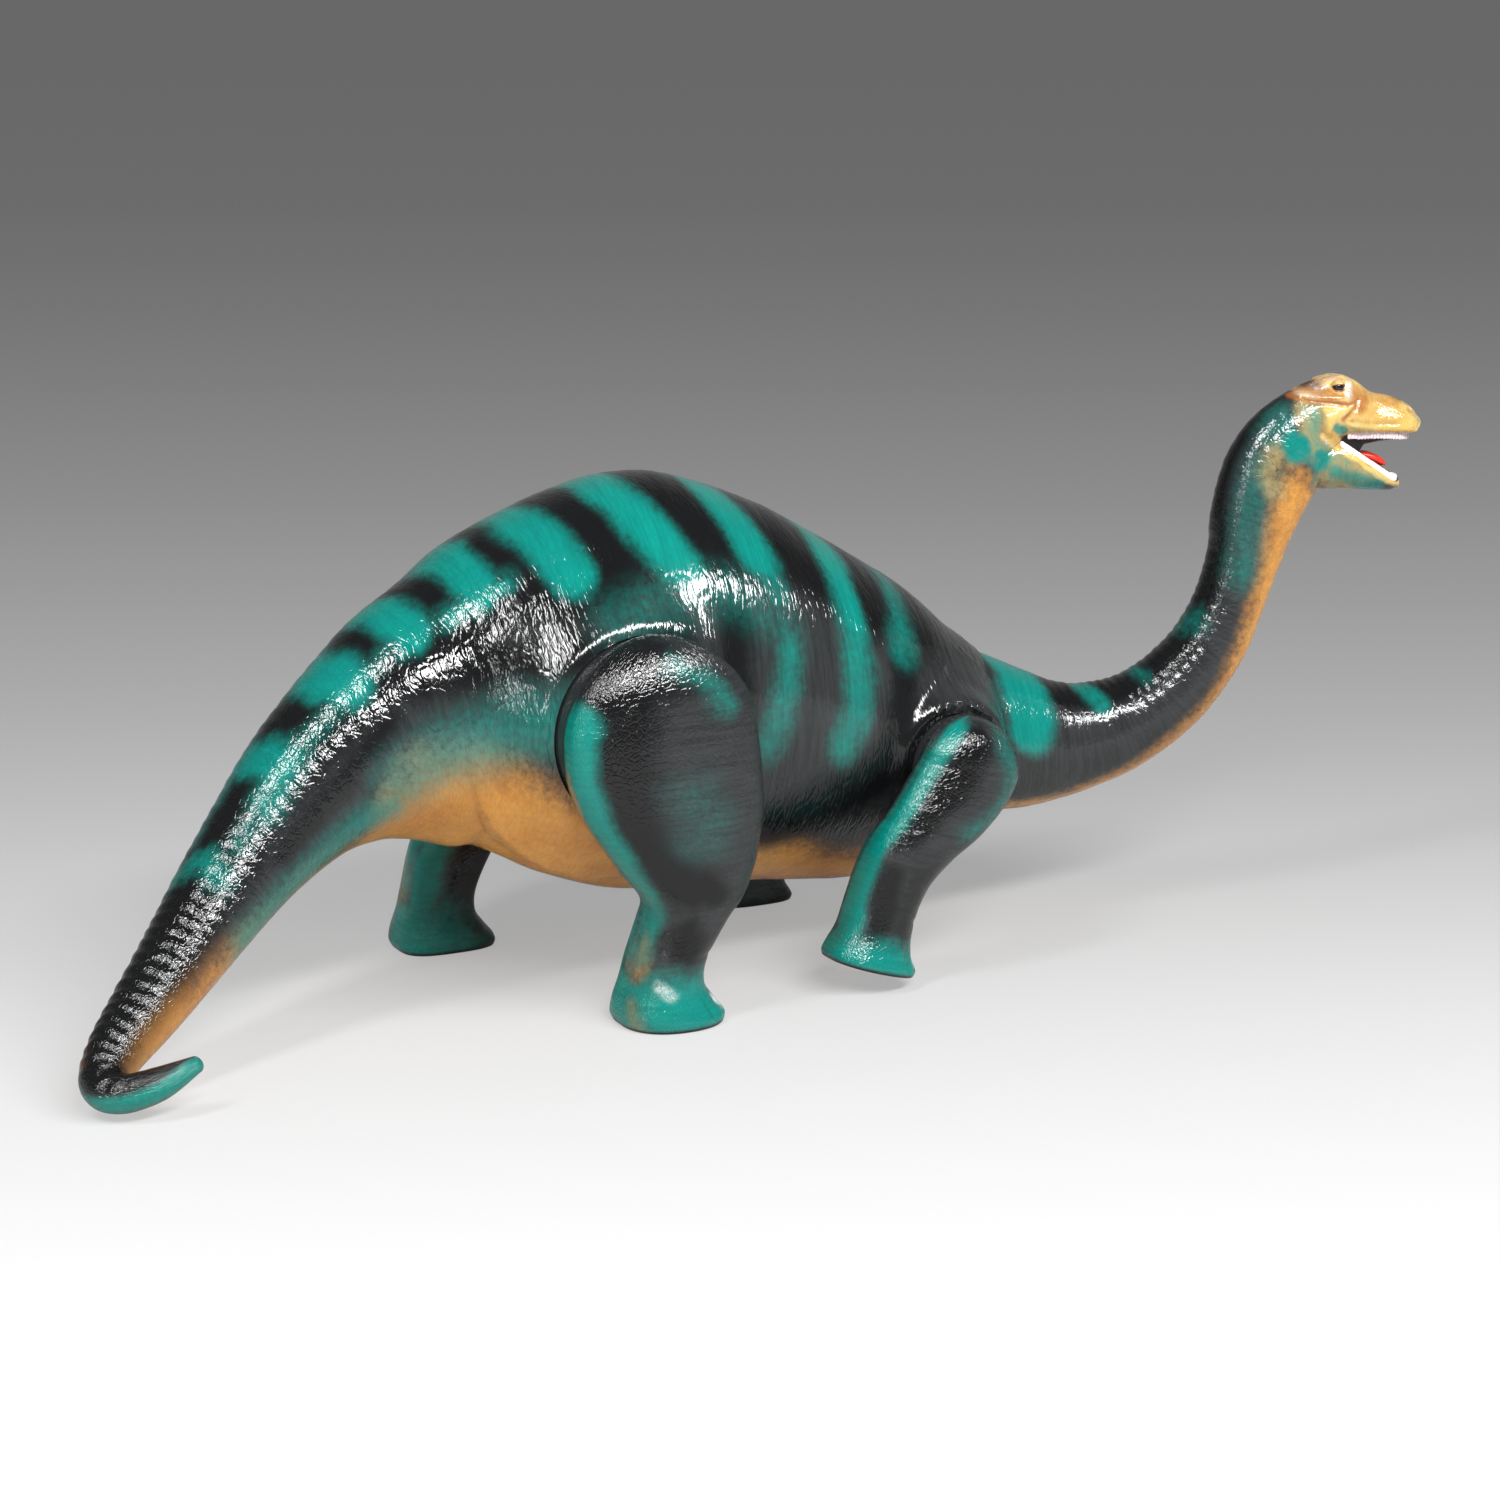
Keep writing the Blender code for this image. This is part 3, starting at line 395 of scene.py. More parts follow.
def mix_node(tree, share, first, second):
    """A mix of two colours."""
    inputs = {0: share, 6: first, 7: second}
    return add_node(tree, "ShaderNodeMix", inputs, data_type="RGBA", clamp_factor=True).outputs[2]


def noise_node(tree, vector, scale, detail=2.0, roughness=0.5, output="Fac"):
    """A Noise texture on a vector."""
    inputs = {"Vector": vector, "Scale": scale, "Detail": detail, "Roughness": roughness}
    return add_node(tree, "ShaderNodeTexNoise", inputs).outputs[output]


def stretched(tree, vector, along_scale, round_scale):
    """A vector scaled along and round the skin."""
    inputs = {"Vector": vector, "Scale": (along_scale, round_scale, 1.0)}
    return add_node(tree, "ShaderNodeMapping", inputs).outputs[0]


def new_group(name, inputs, outputs):
    """A shader group with named values in and out, and the sockets at its two ends."""
    group = bpy.data.node_groups.new(name, "ShaderNodeTree")
    for label, kind in inputs:
        group.interface.new_socket(label, in_out="INPUT", socket_type=kind)
    for label in outputs:
        group.interface.new_socket(label, in_out="OUTPUT", socket_type="NodeSocketFloat")
    return group, group.nodes.new("NodeGroupInput").outputs, group.nodes.new("NodeGroupOutput").inputs


# Spray edge: a cover whose edge is broken by drift and fine speckle
spray_edge, given, result = new_group(
    "spray_edge", (("Cover", "NodeSocketFloat"), ("Place", "NodeSocketVector"), ("Drift", "NodeSocketFloat"),
                   ("Speckle", "NodeSocketFloat")), ("Paint",))
moved, dotted = [
    math_node(spray_edge, "MULTIPLY", math_node(spray_edge, "SUBTRACT", noise, 0.5), given[amount])
    for noise, amount in ((noise_node(spray_edge, given["Place"], 420.0, 3.0, 0.6), "Drift"),
                          (noise_node(spray_edge, given["Place"], 2600.0, 1.0), "Speckle"))]
bare = math_node(spray_edge, "SUBTRACT", 1.0, given["Cover"])
at_edge = math_node(spray_edge, "MULTIPLY", math_node(spray_edge, "MULTIPLY", bare, given["Cover"]), 4.0)
broken = math_node(spray_edge, "MULTIPLY", math_node(spray_edge, "ADD", moved, dotted), at_edge)
spray_edge.links.new(math_node(spray_edge, "ADD", given["Cover"], broken, clamp=True), result["Paint"])

# Skin wrinkles: crackled cells that run round the piece, between fine pores
skin_wrinkles, given, result = new_group(
    "skin_wrinkles", (("Place", "NodeSocketVector"),), ("Height", "Crease"))
bend = noise_node(skin_wrinkles, given["Place"], 160.0, output="Color")
bent = add_node(skin_wrinkles, "ShaderNodeVectorMath", {0: bend, "Scale": 0.0032}, operation="SCALE")
bent = add_node(skin_wrinkles, "ShaderNodeVectorMath", {0: given["Place"], 1: bent.outputs[0]},
                operation="ADD")
height = math_node(skin_wrinkles, "MULTIPLY", noise_node(skin_wrinkles, given["Place"], 2200.0), 0.10)
for along_scale, round_scale, edge_width, weight in ((1150.0, 640.0, 0.30, 0.22), (520.0, 290.0, 0.24, 0.62)):
    place = stretched(skin_wrinkles, bent.outputs[0], along_scale, round_scale)
    cells = add_node(skin_wrinkles, "ShaderNodeTexVoronoi", {"Vector": place, "Scale": 1.0},
                     voronoi_dimensions="2D", feature="DISTANCE_TO_EDGE")
    edge = step_node(skin_wrinkles, cells.outputs["Distance"], 0.0, edge_width)
    height = math_node(skin_wrinkles, "ADD", height, math_node(skin_wrinkles, "MULTIPLY", edge, weight))
skin_wrinkles.links.new(height, result["Height"])
skin_wrinkles.links.new(math_node(skin_wrinkles, "SUBTRACT", 1.0, edge), result["Crease"])


def new_material(name):
    """A material with nodes, its node tree and the part's own coordinates."""
    material = bpy.data.materials.new(name)
    material.use_nodes = True
    tree = material.node_tree
    return material, tree, add_node(tree, "ShaderNodeTexCoord").outputs["Object"]


def lay_on(tree, colour, roughness, height, depth):
    """Leads a colour, a roughness and a height pressed to a depth into the material's shader."""
    bump = add_node(tree, "ShaderNodeBump", {"Strength": 1.0, "Distance": depth, "Height": height})
    for label, value in (("Base Color", colour), ("Roughness", roughness), ("Normal", bump.outputs[0])):
        tree.links.new(value, tree.nodes["Principled BSDF"].inputs[label])


def painted_vinyl(name, wrinkle_depth, gloss, squeeze):
    """Sprayed paints over charcoal vinyl, lacquered, with painted shade in the wrinkles' creases. Squeeze
    shortens the wrinkles round the piece.
    """
    material, tree, place = new_material(name)
    skin = add_node(tree, "ShaderNodeUVMap", uv_map="skin").outputs[0]

    def cover(name, drift=0.9, speckle=0.3):
        amount = add_node(tree, "ShaderNodeAttribute", attribute_name=name).outputs["Fac"]
        inputs = {"Cover": amount, "Place": place, "Drift": drift, "Speckle": speckle}
        return add_node(tree, "ShaderNodeGroup", inputs, node_tree=spray_edge).outputs["Paint"]

    cloud = noise_node(tree, place, 45.0, 4.0, 0.6)
    fine = step_node(tree, noise_node(tree, stretched(tree, skin, 700.0, 60.0), 1.0, 3.0, 0.6), 0.35, 0.65)
    soft = step_node(tree, cloud, 0.3, 0.7)
    charcoal = mix_node(tree, fine, (0.017, 0.0185, 0.019, 1), (0.026, 0.028, 0.029, 1))
    earth = mix_node(tree, soft, (0.50, 0.195, 0.024, 1), (0.63, 0.290, 0.052, 1))
    gold = mix_node(tree, soft, (0.54, 0.355, 0.088, 1), (0.70, 0.51, 0.20, 1))
    fine_share, soft_share = [math_node(tree, "MULTIPLY", value, 0.6) for value in (fine, soft)]
    teal = mix_node(tree, fine_share, (0.0, 0.170, 0.138, 1), (0.002, 0.235, 0.190, 1))
    teal = mix_node(tree, soft_share, teal, (0.0, 0.160, 0.140, 1))
    inputs = {"Place": stretched(tree, skin, 1.0, squeeze)}
    wrinkles = add_node(tree, "ShaderNodeGroup", inputs, node_tree=skin_wrinkles).outputs
    umber_share = math_node(tree, "MULTIPLY", cover("umber"), 0.92)
    # Painted shade: the wrinkles' creases darken the colour itself.
    painted_crease_shade = math_node(tree, "MULTIPLY", wrinkles["Crease"], 0.07)
    colour = charcoal
    # The last, pale paint is partly rubbed wear and pale face paint, and partly a painted highlight on the
    # hind feet.
    for share, paint in ((cover("earth", 1.1, 0.5), earth), (cover("black"), (0.0035, 0.0036, 0.004, 1)),
                         (cover("gold"), gold), (cover("teal"), teal), (umber_share, (0.28, 0.080, 0.018, 1)),
                         (painted_crease_shade, (0.002, 0.003, 0.003, 1)),
                         (cover("worn", 1.4, 1.2), (0.62, 0.66, 0.64, 1))):
        colour = mix_node(tree, share, colour, paint)
    roughness = step_node(tree, cloud, 0.25, 0.75, gloss - 0.03, gloss + 0.06)
    lay_on(tree, colour, roughness, wrinkles["Height"], wrinkle_depth)
    tree.nodes["Principled BSDF"].inputs["Specular IOR Level"].default_value = 0.6
    return material


def plain_plastic(name, light, dark, roughness):
    """A moulded plastic with clouding and a fine grain."""
    material, tree, place = new_material(name)
    cloud = noise_node(tree, place, 120.0, 4.0, 0.6)
    colour = mix_node(tree, step_node(tree, cloud, 0.3, 0.7), dark, light)
    gloss = step_node(tree, cloud, 0.2, 0.8, roughness - 0.06, roughness + 0.08)
    lay_on(tree, colour, gloss, noise_node(tree, place, 900.0), 0.00006)
    return material


vinyl_body = painted_vinyl("painted_vinyl_body", 0.00009, 0.11, 0.75)
socket_dark = plain_plastic("bare_dark_vinyl", (0.010, 0.011, 0.012, 1), (0.004, 0.004, 0.005, 1), 0.45)
skin_pair = (vinyl_body, socket_dark)
torso = skin_mesh("torso_and_tail_skin", body_points, body_length, skin_pair)
first_places = places_of(torso.data)

# Sockets for the legs, and the vent under the tail
VENT = (-188.78, -24.11, 32.54)
VENT_RADIUS, VENT_DEPTH, SOCKET_DEPTH = 2.2, 9.0, 30.0
UPRIGHT, ACROSS = Matrix.Identity(4), Matrix.Rotation(math.pi / 2, 4, "X")


def add_cylinder(bm, middle, radius, depth, turn, segments=128):
    """A closed cylinder about a middle, in millimetres."""
    place = Matrix.Translation(Vector(middle) / 1000) @ turn
    bmesh.ops.create_cone(bm, cap_ends=True, segments=segments, radius1=radius / 1000, radius2=radius / 1000,
                          depth=depth / 1000, matrix=place)


cutter_bm = bmesh.new()
for side in (-1, 1):
    for x, z, hub, reach, sunk, bulge, face in (HIP, SHOULDER):
        middle = (x, side * (face + SOCKET_DEPTH / 2), z)
        add_cylinder(cutter_bm, middle, hub + SOCKET_GAP, SOCKET_DEPTH, ACROSS)
add_cylinder(cutter_bm, VENT, VENT_RADIUS, VENT_DEPTH, UPRIGHT, 40)
carve(torso, cutter_from(cutter_bm, "body_cutters", skin_pair))
first_values = skin_values(body_points, body_length, body_degrees)
s_now, a_now, r_now = carry_over(torso.data, first_places, *first_values)

# The left side repeats the right side's sprayed stripes, a little out of step, as hand spraying leaves them
left_side = a_now < 0
s_spray = s_now + np.where(left_side & (s_now < 380), 4.0 * patchy(s_now / 40, a_now / 60, 21), 0)
s_spray += 1.6 * patchy(s_now / 9, a_now / 14, 22)
a_spray = np.where((s_now < 380), np.abs(a_now), a_now)
a_turned = a_spray + 3.5 * patchy(s_now / 12, a_now / 20, 23)
BODY_TEAL = (
    (4, 9, 0.6, ((52, 0), (53, 20), (56, 42), (61, 60))),
    (5.8, 8, 1, ((83, 0), (79, 18), (80.5, 38), (80, 56))),
    (5.2, 9, 0.72, ((80, 50), (81, 68), (84, 84), (89, 96))),
    (7, 8, 1, ((121, 0), (117.5, 18), (114, 34), (112.5, 44))),
    (5, 9, 0.55, ((112.5, 42), (110, 54))),
    (4.2, 9, 0.62, ((108, 70), (110, 80), (113, 90), (117, 99))),
    (7, 8, 1, ((156, 0), (154.5, 14), (151.5, 30), (146, 42), (142, 50))),
    (7, 16, 0.3, ((110, 64), (126, 57), (142, 58), (156, 60), (168, 62))),
    (6.8, 7, 1, ((185, 0), (183.5, 18), (180.5, 34), (177, 46))),
    (5.8, 6, 1, ((205, 0), (204.3, 18), (202.5, 38))),
    (3, 5.5, 0.85, ((196, 40), (213, 37))),
    (5.2, 6, 1, ((225, 0), (224.8, 18), (224, 34))),
    (6.4, 6.5, 1, ((244.5, 0), (244, 14), (242.5, 32))),
    (5.6, 7, 0.9, ((270, 0), (270.5, 15), (271, 28))),
    (5, 9, 0.7, ((266, 30), (282, 34))),
    (4.6, 8, 0.6, ((306, 0), (306, 14), (308, 28))),
    (3, 8, 0.42, ((196, 36), (232, 31), (262, 32), (296, 32))),
    (9, 18, 0.6, ((184, 90), (205, 92), (226, 95), (244, 102))),
    (6, 13, 0.78, ((248, 112), (270, 117), (292, 118), (318, 112))),
)
# Black paint, except the first two strokes, which are painted shade in the dark recess behind and under the
# front leg.
BODY_BLACK_AND_SHADE = (
    (9, 10, 1, ((54, 82), (62, 94), (78, 106), (95, 117), (112, 126))),
    (6, 9, 1, ((60, 62), (64, 80), (70, 96))),
    (6.5, 8, 1, ((127, 66), (130, 78), (128, 90))),
    (7, 9, 1, ((150, 70), (175, 70), (200, 68), (226, 54))),
    (4, 8, 0.9, ((240, 62), (262, 74), (290, 78))),
)
teal = sprayed(s_spray, a_spray, r_now, BODY_TEAL)

# Edges of the earth-coloured belly and of the black saddle: length along in millimetres, and degrees
UNDER_EDGE = ((0, 140), (80, 140), (110, 135), (140, 128), (170, 121), (195, 113), (215, 106), (235, 102),
              (250, 112), (262, 140), (300, 136), (320, 121), (340, 106), (350, 86), (365, 72), (378, 76),
              (390, 84))
under_row = np.interp(s_now, *zip(*UNDER_EDGE))
earth = ramp((a_turned - under_row) * r_now * math.pi / 180, -10 - 5 * ramp(s_now, 170, 215), 8)
SADDLE_EDGE = ((0, 44), (20, 46), (60, 58), (100, 52), (140, 58), (215, 60), (260, 58), (310, 60), (340, 70),
               (378, 76), (400, 50))
saddle = np.interp(s_now, *zip(*SADDLE_EDGE))
black = ramp((saddle - a_turned) * r_now * math.pi / 180, -7, 7)
black = np.maximum(black, sprayed(s_spray, a_spray, r_now, BODY_BLACK_AND_SHADE))
hook = ramp(s_now, 378, 388)
hook_teal = sprayed(s_now, a_now, r_now, ((3.6, 3.0, 1.0, ((384, -124), (398, -112), (414, -96))),
                                          (3.0, 3.0, 0.8, ((392, 130), (402, 120), (414, 104)))))
teal = teal * (1 - hook) + hook_teal * hook
hook_black = ramp(62 - np.abs(a_now + 14), -14, 14) * (1 - 0.8 * ramp(s_now, 404, 412))
black = black * (1 - hook) + hook_black * hook
earth = earth * (1 - hook) + ramp(np.abs(a_now), 125, 160) * 0.4 * hook
add_covers(torso.data, teal=teal, black=black, earth=0.90 * earth)
torso.data.set_sharp_from_angle(angle=SHARP)
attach(torso, "body")
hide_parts("body_shell")


# Neck and head
# A second hollow moulding that turns on the body's front. The jaw is joined on and the open mouth is cut
# out of it, as the mould forms it, and the folds of the face are pressed into its skin.

# Reach, rise, half depth, half width and tilt of each section in the neck's upright plane, in millimetres
NECK_SECTIONS = np.array((
    (0, 0, 28.42, 27.81, 8),
    (11.86, -2.7, 24.99, 24.03, 4),
    (23.56, -4.16, 21.32, 20.52, 4),
    (34.5, -3.06, 18.86, 18.25, 12),
    (45.12, -0.24, 17.27, 16.63, 22),
    (55.75, 4.65, 15.8, 15.44, 33),
    (64.83, 11.15, 14.94, 14.69, 44),
    (73.3, 19.72, 13.96, 13.82, 53),
    (80.7, 30.26, 13.11, 12.96, 62),
    (86.24, 42.75, 12.5, 12.2, 69),
    (90.55, 56.96, 12.98, 12.2, 72.5),
    (93.63, 71.05, 15.19, 12.85, 71),
    (98.41, 85.26, 17.03, 12.74, 62),
    (102.87, 93.34, 17.03, 12.42, 55),
    (108.72, 100.82, 15.8, 11.88, 48),
    (114.42, 106.45, 13.6, 11.34, 38),
    (119.81, 110.01, 12, 11.02, 25),
    (125.05, 110.25, 12.62, 10.58, 13),
    (129.98, 107.68, 12.86, 9.77, 6.5),
    (135.21, 105.6, 10.66, 8.8, 2.5),
    (142.6, 104.74, 9.8, 8.53, 1.5),
    (148.46, 103.88, 7.6, 7.34, -2),
    (151.84, 102.78, 4.65, 4.32, -6),
))
JAW_SECTIONS = np.array((
    (110.57, 91.51, 7.96, 8.37, 0),
    (118.27, 92, 9.56, 9.83, 0),
    (125.05, 91.75, 9.43, 10.04, 0),
    (131.36, 89.67, 7.72, 9.72, 0),
    (137.83, 87.46, 5.76, 8.91, 0),
    (142.3, 85.7, 4.2, 7.5, 0),
    (144.9, 84.6, 2.4, 4.5, 0),
))
NECK_SEAT = np.array((97.5, 0.0, 67.007))
NECK_AXIS = np.array((0.941801, -0.306010, 0.139173))
NECK_YAW = math.radians(-18.0)
SEAM_GAP = 0.3
EYE = (120.6, 6.94, 118.8)
EYE_RADIUS = 2.2


def upright(rows):
    """Sections of the neck's plane as full sections."""
    zero = np.zeros(len(rows))
    return np.stack([rows[:, 0], zero, rows[:, 1], rows[:, 2], rows[:, 3], rows[:, 4], zero], 1)


def from_neck(points):
    """Points of the neck's plane frame in the part's frame."""
    points = np.asarray(points, float)
    c, s = math.cos(NECK_YAW), math.sin(NECK_YAW)
    x = points[..., 0] * c - points[..., 1] * s
    y = points[..., 0] * s + points[..., 1] * c
    return np.stack([x, y, points[..., 2]], -1) + NECK_SEAT + SEAM_GAP * NECK_AXIS


def into_neck(points):
    """Points of the part's frame in the neck's plane frame."""
    p = np.asarray(points, float) - NECK_SEAT - SEAM_GAP * NECK_AXIS
    c, s = math.cos(NECK_YAW), math.sin(NECK_YAW)
    return np.stack([p[..., 0] * c + p[..., 1] * s, p[..., 1] * c - p[..., 0] * s, p[..., 2]], -1)


def line_cover(reach, rise, strokes):
    """How much of a paint or press the points of the neck's plane have from soft lines."""
    return sprayed(reach, rise, np.full(len(reach), 180 / math.pi), strokes)


neck_rows, neck_length = evenly(upright(NECK_SECTIONS), 0.5)
neck_degrees = once_round(144)
neck_points = oval_skin(neck_rows, neck_degrees)
s_neck, a_neck, v_neck = skin_grid(neck_length, neck_degrees)
head_part = ramp(s_neck, 172, 186)
neck_top = 1 - ramp(np.abs(a_neck), 50, 95)
wander = patchy(s_neck / 13, v_neck * 12, 33, 12)
relief = 0.16 * patchy(s_neck / 6.0, v_neck * 8, 34, 8)
relief += 0.08 * creases(s_neck / 4.0 + 0.5 * wander, v_neck * 10 + 0.3 * wander, 35, 10)
ribs = np.sin(2 * math.pi * (s_neck + 0.9 * wander) / 4.3)
relief += 0.12 * ribs * neck_top * ramp(s_neck, 16, 40) * (1 - 0.6 * ramp(s_neck, 90, 130))
relief *= ramp(s_neck, 0, 5) * (1 - 0.86 * head_part)

# Brows, the folds behind the eyes, the cheeks, the lips and the nostrils, all the same on both sides
reach, side, rise = neck_points[:, :, 0].ravel(), neck_points[:, :, 1].ravel(), neck_points[:, :, 2].ravel()
FACE_FOLDS = (
    # How far out in millimetres, then the strokes in reach and rise
    (1, ((1, 2.4, 1, ((115.8, 120.4), (118.4, 121.9), (121.6, 122), (125, 119.6))),)),
    (-0.8, ((0.3, 1.6, 1, ((104.5, 115.9), (110.5, 114.3), (117.2, 113.6), (123.6, 112.6), (127, 114.2))),
            (0.3, 1.6, 1, ((127.4, 114.6), (126.2, 111.6), (122.6, 108.4))),
            (0.25, 1.3, 0.8, ((107, 117), (112.5, 117.4), (117, 118.4))),
            (0.25, 1.2, 0.7, ((112.5, 119.6), (116.5, 121.6), (120.5, 123.2))))),
    (0.7, ((0.9, 2.6, 1, ((107, 115.8), (114, 115.6), (121, 115.2))),
           (1.4, 3.2, 1, ((121.5, 110.6), (116.8, 107.6), (116.2, 104))),
           (1, 2.4, 1, ((126.5, 105.6), (134, 104.6), (147, 104))))),
    (0.5, ((1.6, 4, 1, ((127.5, 108.6), (136, 107.4), (144, 107.2))),)),
    (-0.5, ((0.4, 2, 1, ((124.5, 106.9), (133, 106), (142, 105.8))),
            (0.5, 2.2, 0.8, ((112.6, 84.5), (114.4, 90.5), (119, 94.5))))),
    (-1.1, ((0.3, 1.2, 1, ((147.6, 109.8), (148.8, 108.8))),)),
    (0.45, ((0.6, 1.6, 1, ((146, 111.2), (149, 110.6))),)),
)
face = sum(out * line_cover(reach, rise, strokes) for out, strokes in FACE_FOLDS)
face *= ramp(np.abs(side), 2.0, 4.5)
relief += (face * ramp(reach, 100, 106)).reshape(s_neck.shape)
neck_points += outward(neck_points, -1) * relief[:, :, None]
neck_points[0] = neck_points[0].mean(0) + (neck_points[0] - neck_points[0].mean(0)) * 0.985
neck_points = rounded_end(neck_points, reach=0.45)
neck_length = np.concatenate([neck_length, neck_length[-1] + np.arange(1, 6) * 0.5])

vinyl_neck = painted_vinyl("painted_vinyl_neck", 0.00007, 0.13, 1.2)
mouth_inside = plain_plastic("mouth_inside", (0.030, 0.010, 0.008, 1), (0.008, 0.004, 0.004, 1), 0.30)
skin_pair = (vinyl_neck, mouth_inside)
neck = skin_mesh("neck_and_head_skin", kept_inside(from_neck(neck_points)), neck_length, skin_pair)
first_places = places_of(neck.data)
first_values = skin_values(neck_points, neck_length, neck_degrees)

jaw_rows, jaw_length = evenly(upright(JAW_SECTIONS), 0.6)
jaw_points = oval_skin(jaw_rows, once_round(96))
jaw_points = rounded_end(jaw_points, reach=0.45)
jaw_length = np.concatenate([jaw_length, jaw_length[-1] + np.arange(1, 6) * 0.4])
jaw = skin_mesh("jaw_block", from_neck(jaw_points), jaw_length, skin_pair)
carve(neck, jaw, "UNION")

# The open mouth between both lips, in reach and rise
MOUTH_OUTLINE = ((122.5, 98.1), (122.7, 99.6), (123.2, 101.2), (124.6, 102.5), (126.6, 102.9), (131, 103),
                 (136, 103), (143, 102.8), (148.5, 102.5), (150.4, 102.9), (151.8, 103.9), (152.8, 105.4),
                 (160, 106.4), (160, 86.8), (146.6, 86), (144.6, 85.2), (143, 85.3), (141.5, 85.9))
wedge_bm = bmesh.new()
low, high = [[wedge_bm.verts.new(Vector(from_neck((x, y, z))) / 1000) for x, z in MOUTH_OUTLINE]
             for y in (-16.0, 16.0)]
wedge_bm.faces.new(low)
wedge_bm.faces.new(high[::-1])
for i in range(len(low)):
    j = (i + 1) % len(low)
    wedge_bm.faces.new((low[i], low[j], high[j], high[i]))
carve(neck, cutter_from(wedge_bm, "mouth_wedge", skin_pair))
s_now, a_now, r_now = carry_over(neck.data, first_places, *first_values)
neck_places = into_neck(places_of(neck.data))
reach, side, rise = neck_places.T
on_head = ramp(reach * 0.62 + rise * 0.78, 131, 139)

s_spray = s_now + 1.4 * patchy(s_now / 8, a_now / 14, 41)
a_spray = np.abs(a_now)
a_turned = a_spray + 4 * patchy(s_now / 11, a_now / 20, 42)
NECK_TEAL = (
    (8.2, 6, 1, ((9, 0), (11, 30), (12, 62), (11, 74))),
    (4.6, 6, 0.7, ((37, 0), (39, 20), (42, 42))),
    (3, 6, 0.35, ((64, 0), (66, 34))),
    (5, 8, 0.35, ((94, 0), (97, 34))),
    (5, 13, 0.42, ((120, 76), (134, 70), (148, 64), (162, 60), (174, 56))),
)
teal = sprayed(s_spray, a_spray, r_now, NECK_TEAL) * (1 - on_head)
THROAT_EDGE = ((0, 146), (20, 141), (40, 136), (60, 130), (80, 122), (100, 114), (120, 108), (140, 100),
               (152, 95), (170, 96))
under_row = np.interp(s_now, *zip(*THROAT_EDGE))
earth = ramp((a_turned - under_row) * r_now * math.pi / 180, -5, 5) * (1 - on_head)
saddle = np.interp(s_now, (0, 22, 40, 90, 120, 150, 175, 190), (0, 44, 52, 56, 50, 30, 24, 14))
black = ramp((saddle - a_turned) * r_now * math.pi / 180, -4, 4)
black = np.maximum(black, sprayed(s_spray, a_spray, r_now, ((2.0, 3.0, 1.0, ((26, 8), (27.5, 48))),)))
drift = patchy(reach / 4, rise / 4, 44)
r2, h2 = reach + 0.6 * drift, rise + 0.6 * drift
GOLD = (
    (6.1, 4, 1, ((120.8, 120.2), (127, 116.5), (137, 110), (148, 106))),
    (5.8, 4, 1, ((119.8, 113.5), (127, 109), (149, 104.5))),
    (2, 3, 1, ((108.5, 116), (112, 115.8), (118, 115))),
    (4, 4.5, 1, ((119.4, 109.5), (119, 104.8))),
    (3, 2, 1, ((127, 104), (150, 103.2))),
    (1.5, 1.6, 1, ((114.8, 102.9), (121.6, 97.8), (130, 92.1), (139.5, 86.2), (146, 84.2))),
    (2, 2, 1, ((119.5, 101.2), (122, 99.6))),
)
OLIVE = (
    (4.4, 7, 1, ((110.8, 110), (111.6, 104), (112.6, 100.5), (115.5, 98.5), (121.5, 94.5), (130, 89.5))),
    (3, 7, 0.45, ((98, 97), (95, 90), (98, 84))),
    (4, 7, 0.7, ((118, 88), (126, 86))),
)
FACE_TEAL = (
    (3.6, 5.2, 1, ((102.4, 99.8), (106.4, 100.6), (108, 97.8), (104.2, 96.6))),
    (2, 2.6, 0.9, ((103.4, 103.6), (102.6, 101))),
    (3.2, 4.6, 1, ((113.8, 96), (116.2, 95), (115, 92.6))),
    (3, 6, 0.7, ((108, 97.4), (113, 94.6))),
    (3.2, 4.8, 0.85, ((120, 89.8), (128, 86.6), (135.5, 83.9))),
    (0.9, 2.6, 0.7, ((114.2, 91), (112.4, 84))),
    (4.6, 9, 0.42, ((101, 108.5), (97.5, 102), (93, 92), (90, 80))),
    (1.5, 1.6, 0.9, ((119.6, 105.4), (122.2, 103.9))),
    (1.8, 4, 0.3, ((148.5, 111), (152, 106))),
    (0.8, 2.6, 0.4, ((124.8, 104.2), (133, 104.2))),
)
UMBER = (
    (0.9, 1.8, 1, ((104.5, 115.9), (110.5, 114.5), (117.2, 113.9), (123.6, 113.2), (127, 114.1))),
    (0.8, 2.2, 1, ((127.4, 114.5), (125.6, 111.6), (121.8, 108))),
    (0.8, 2, 0.9, ((106, 117.6), (111.5, 117.6), (116, 118.6), (118.4, 116.6), (121, 115.8),
                      (124.2, 117.2))),
    (2.2, 3.6, 0.8, ((112, 116.2), (118, 115.2))),
    (3.2, 5, 0.85, ((126, 116.2), (129.5, 114.6), (128, 112.4))),
    (2, 5, 0.6, ((130, 116.5), (136, 114), (142, 112.6))),
    (4, 8, 0.32, ((126, 113.5), (133, 110.8), (141, 110))),
    (0.7, 1.8, 0.8, ((114.2, 119.6), (117, 121.2), (120.6, 121.9), (124, 120.6))),
    (2.2, 5, 0.45, ((112, 119), (115.5, 121.6), (118.5, 123.6))),
    (1.2, 4, 0.4, ((114.6, 104.6), (119, 101.4), (122.6, 98.4))),
    (0.6, 1.4, 0.85, ((122.9, 101.4), (122.3, 98.6))),
    (0.35, 1, 0.8, ((125, 103.2), (136, 103.4), (149, 102.8))),
    (0.5, 1.8, 0.6, ((146.5, 110.6), (149.5, 108.6))),
    (0.5, 2, 0.5, ((125, 107.2), (133, 106.2), (141, 106))),
)
on_side = ramp(np.abs(side), 1.2, 3.5)
gold = line_cover(r2, h2, GOLD)
face_teal = line_cover(r2, h2, FACE_TEAL) * on_head * on_side
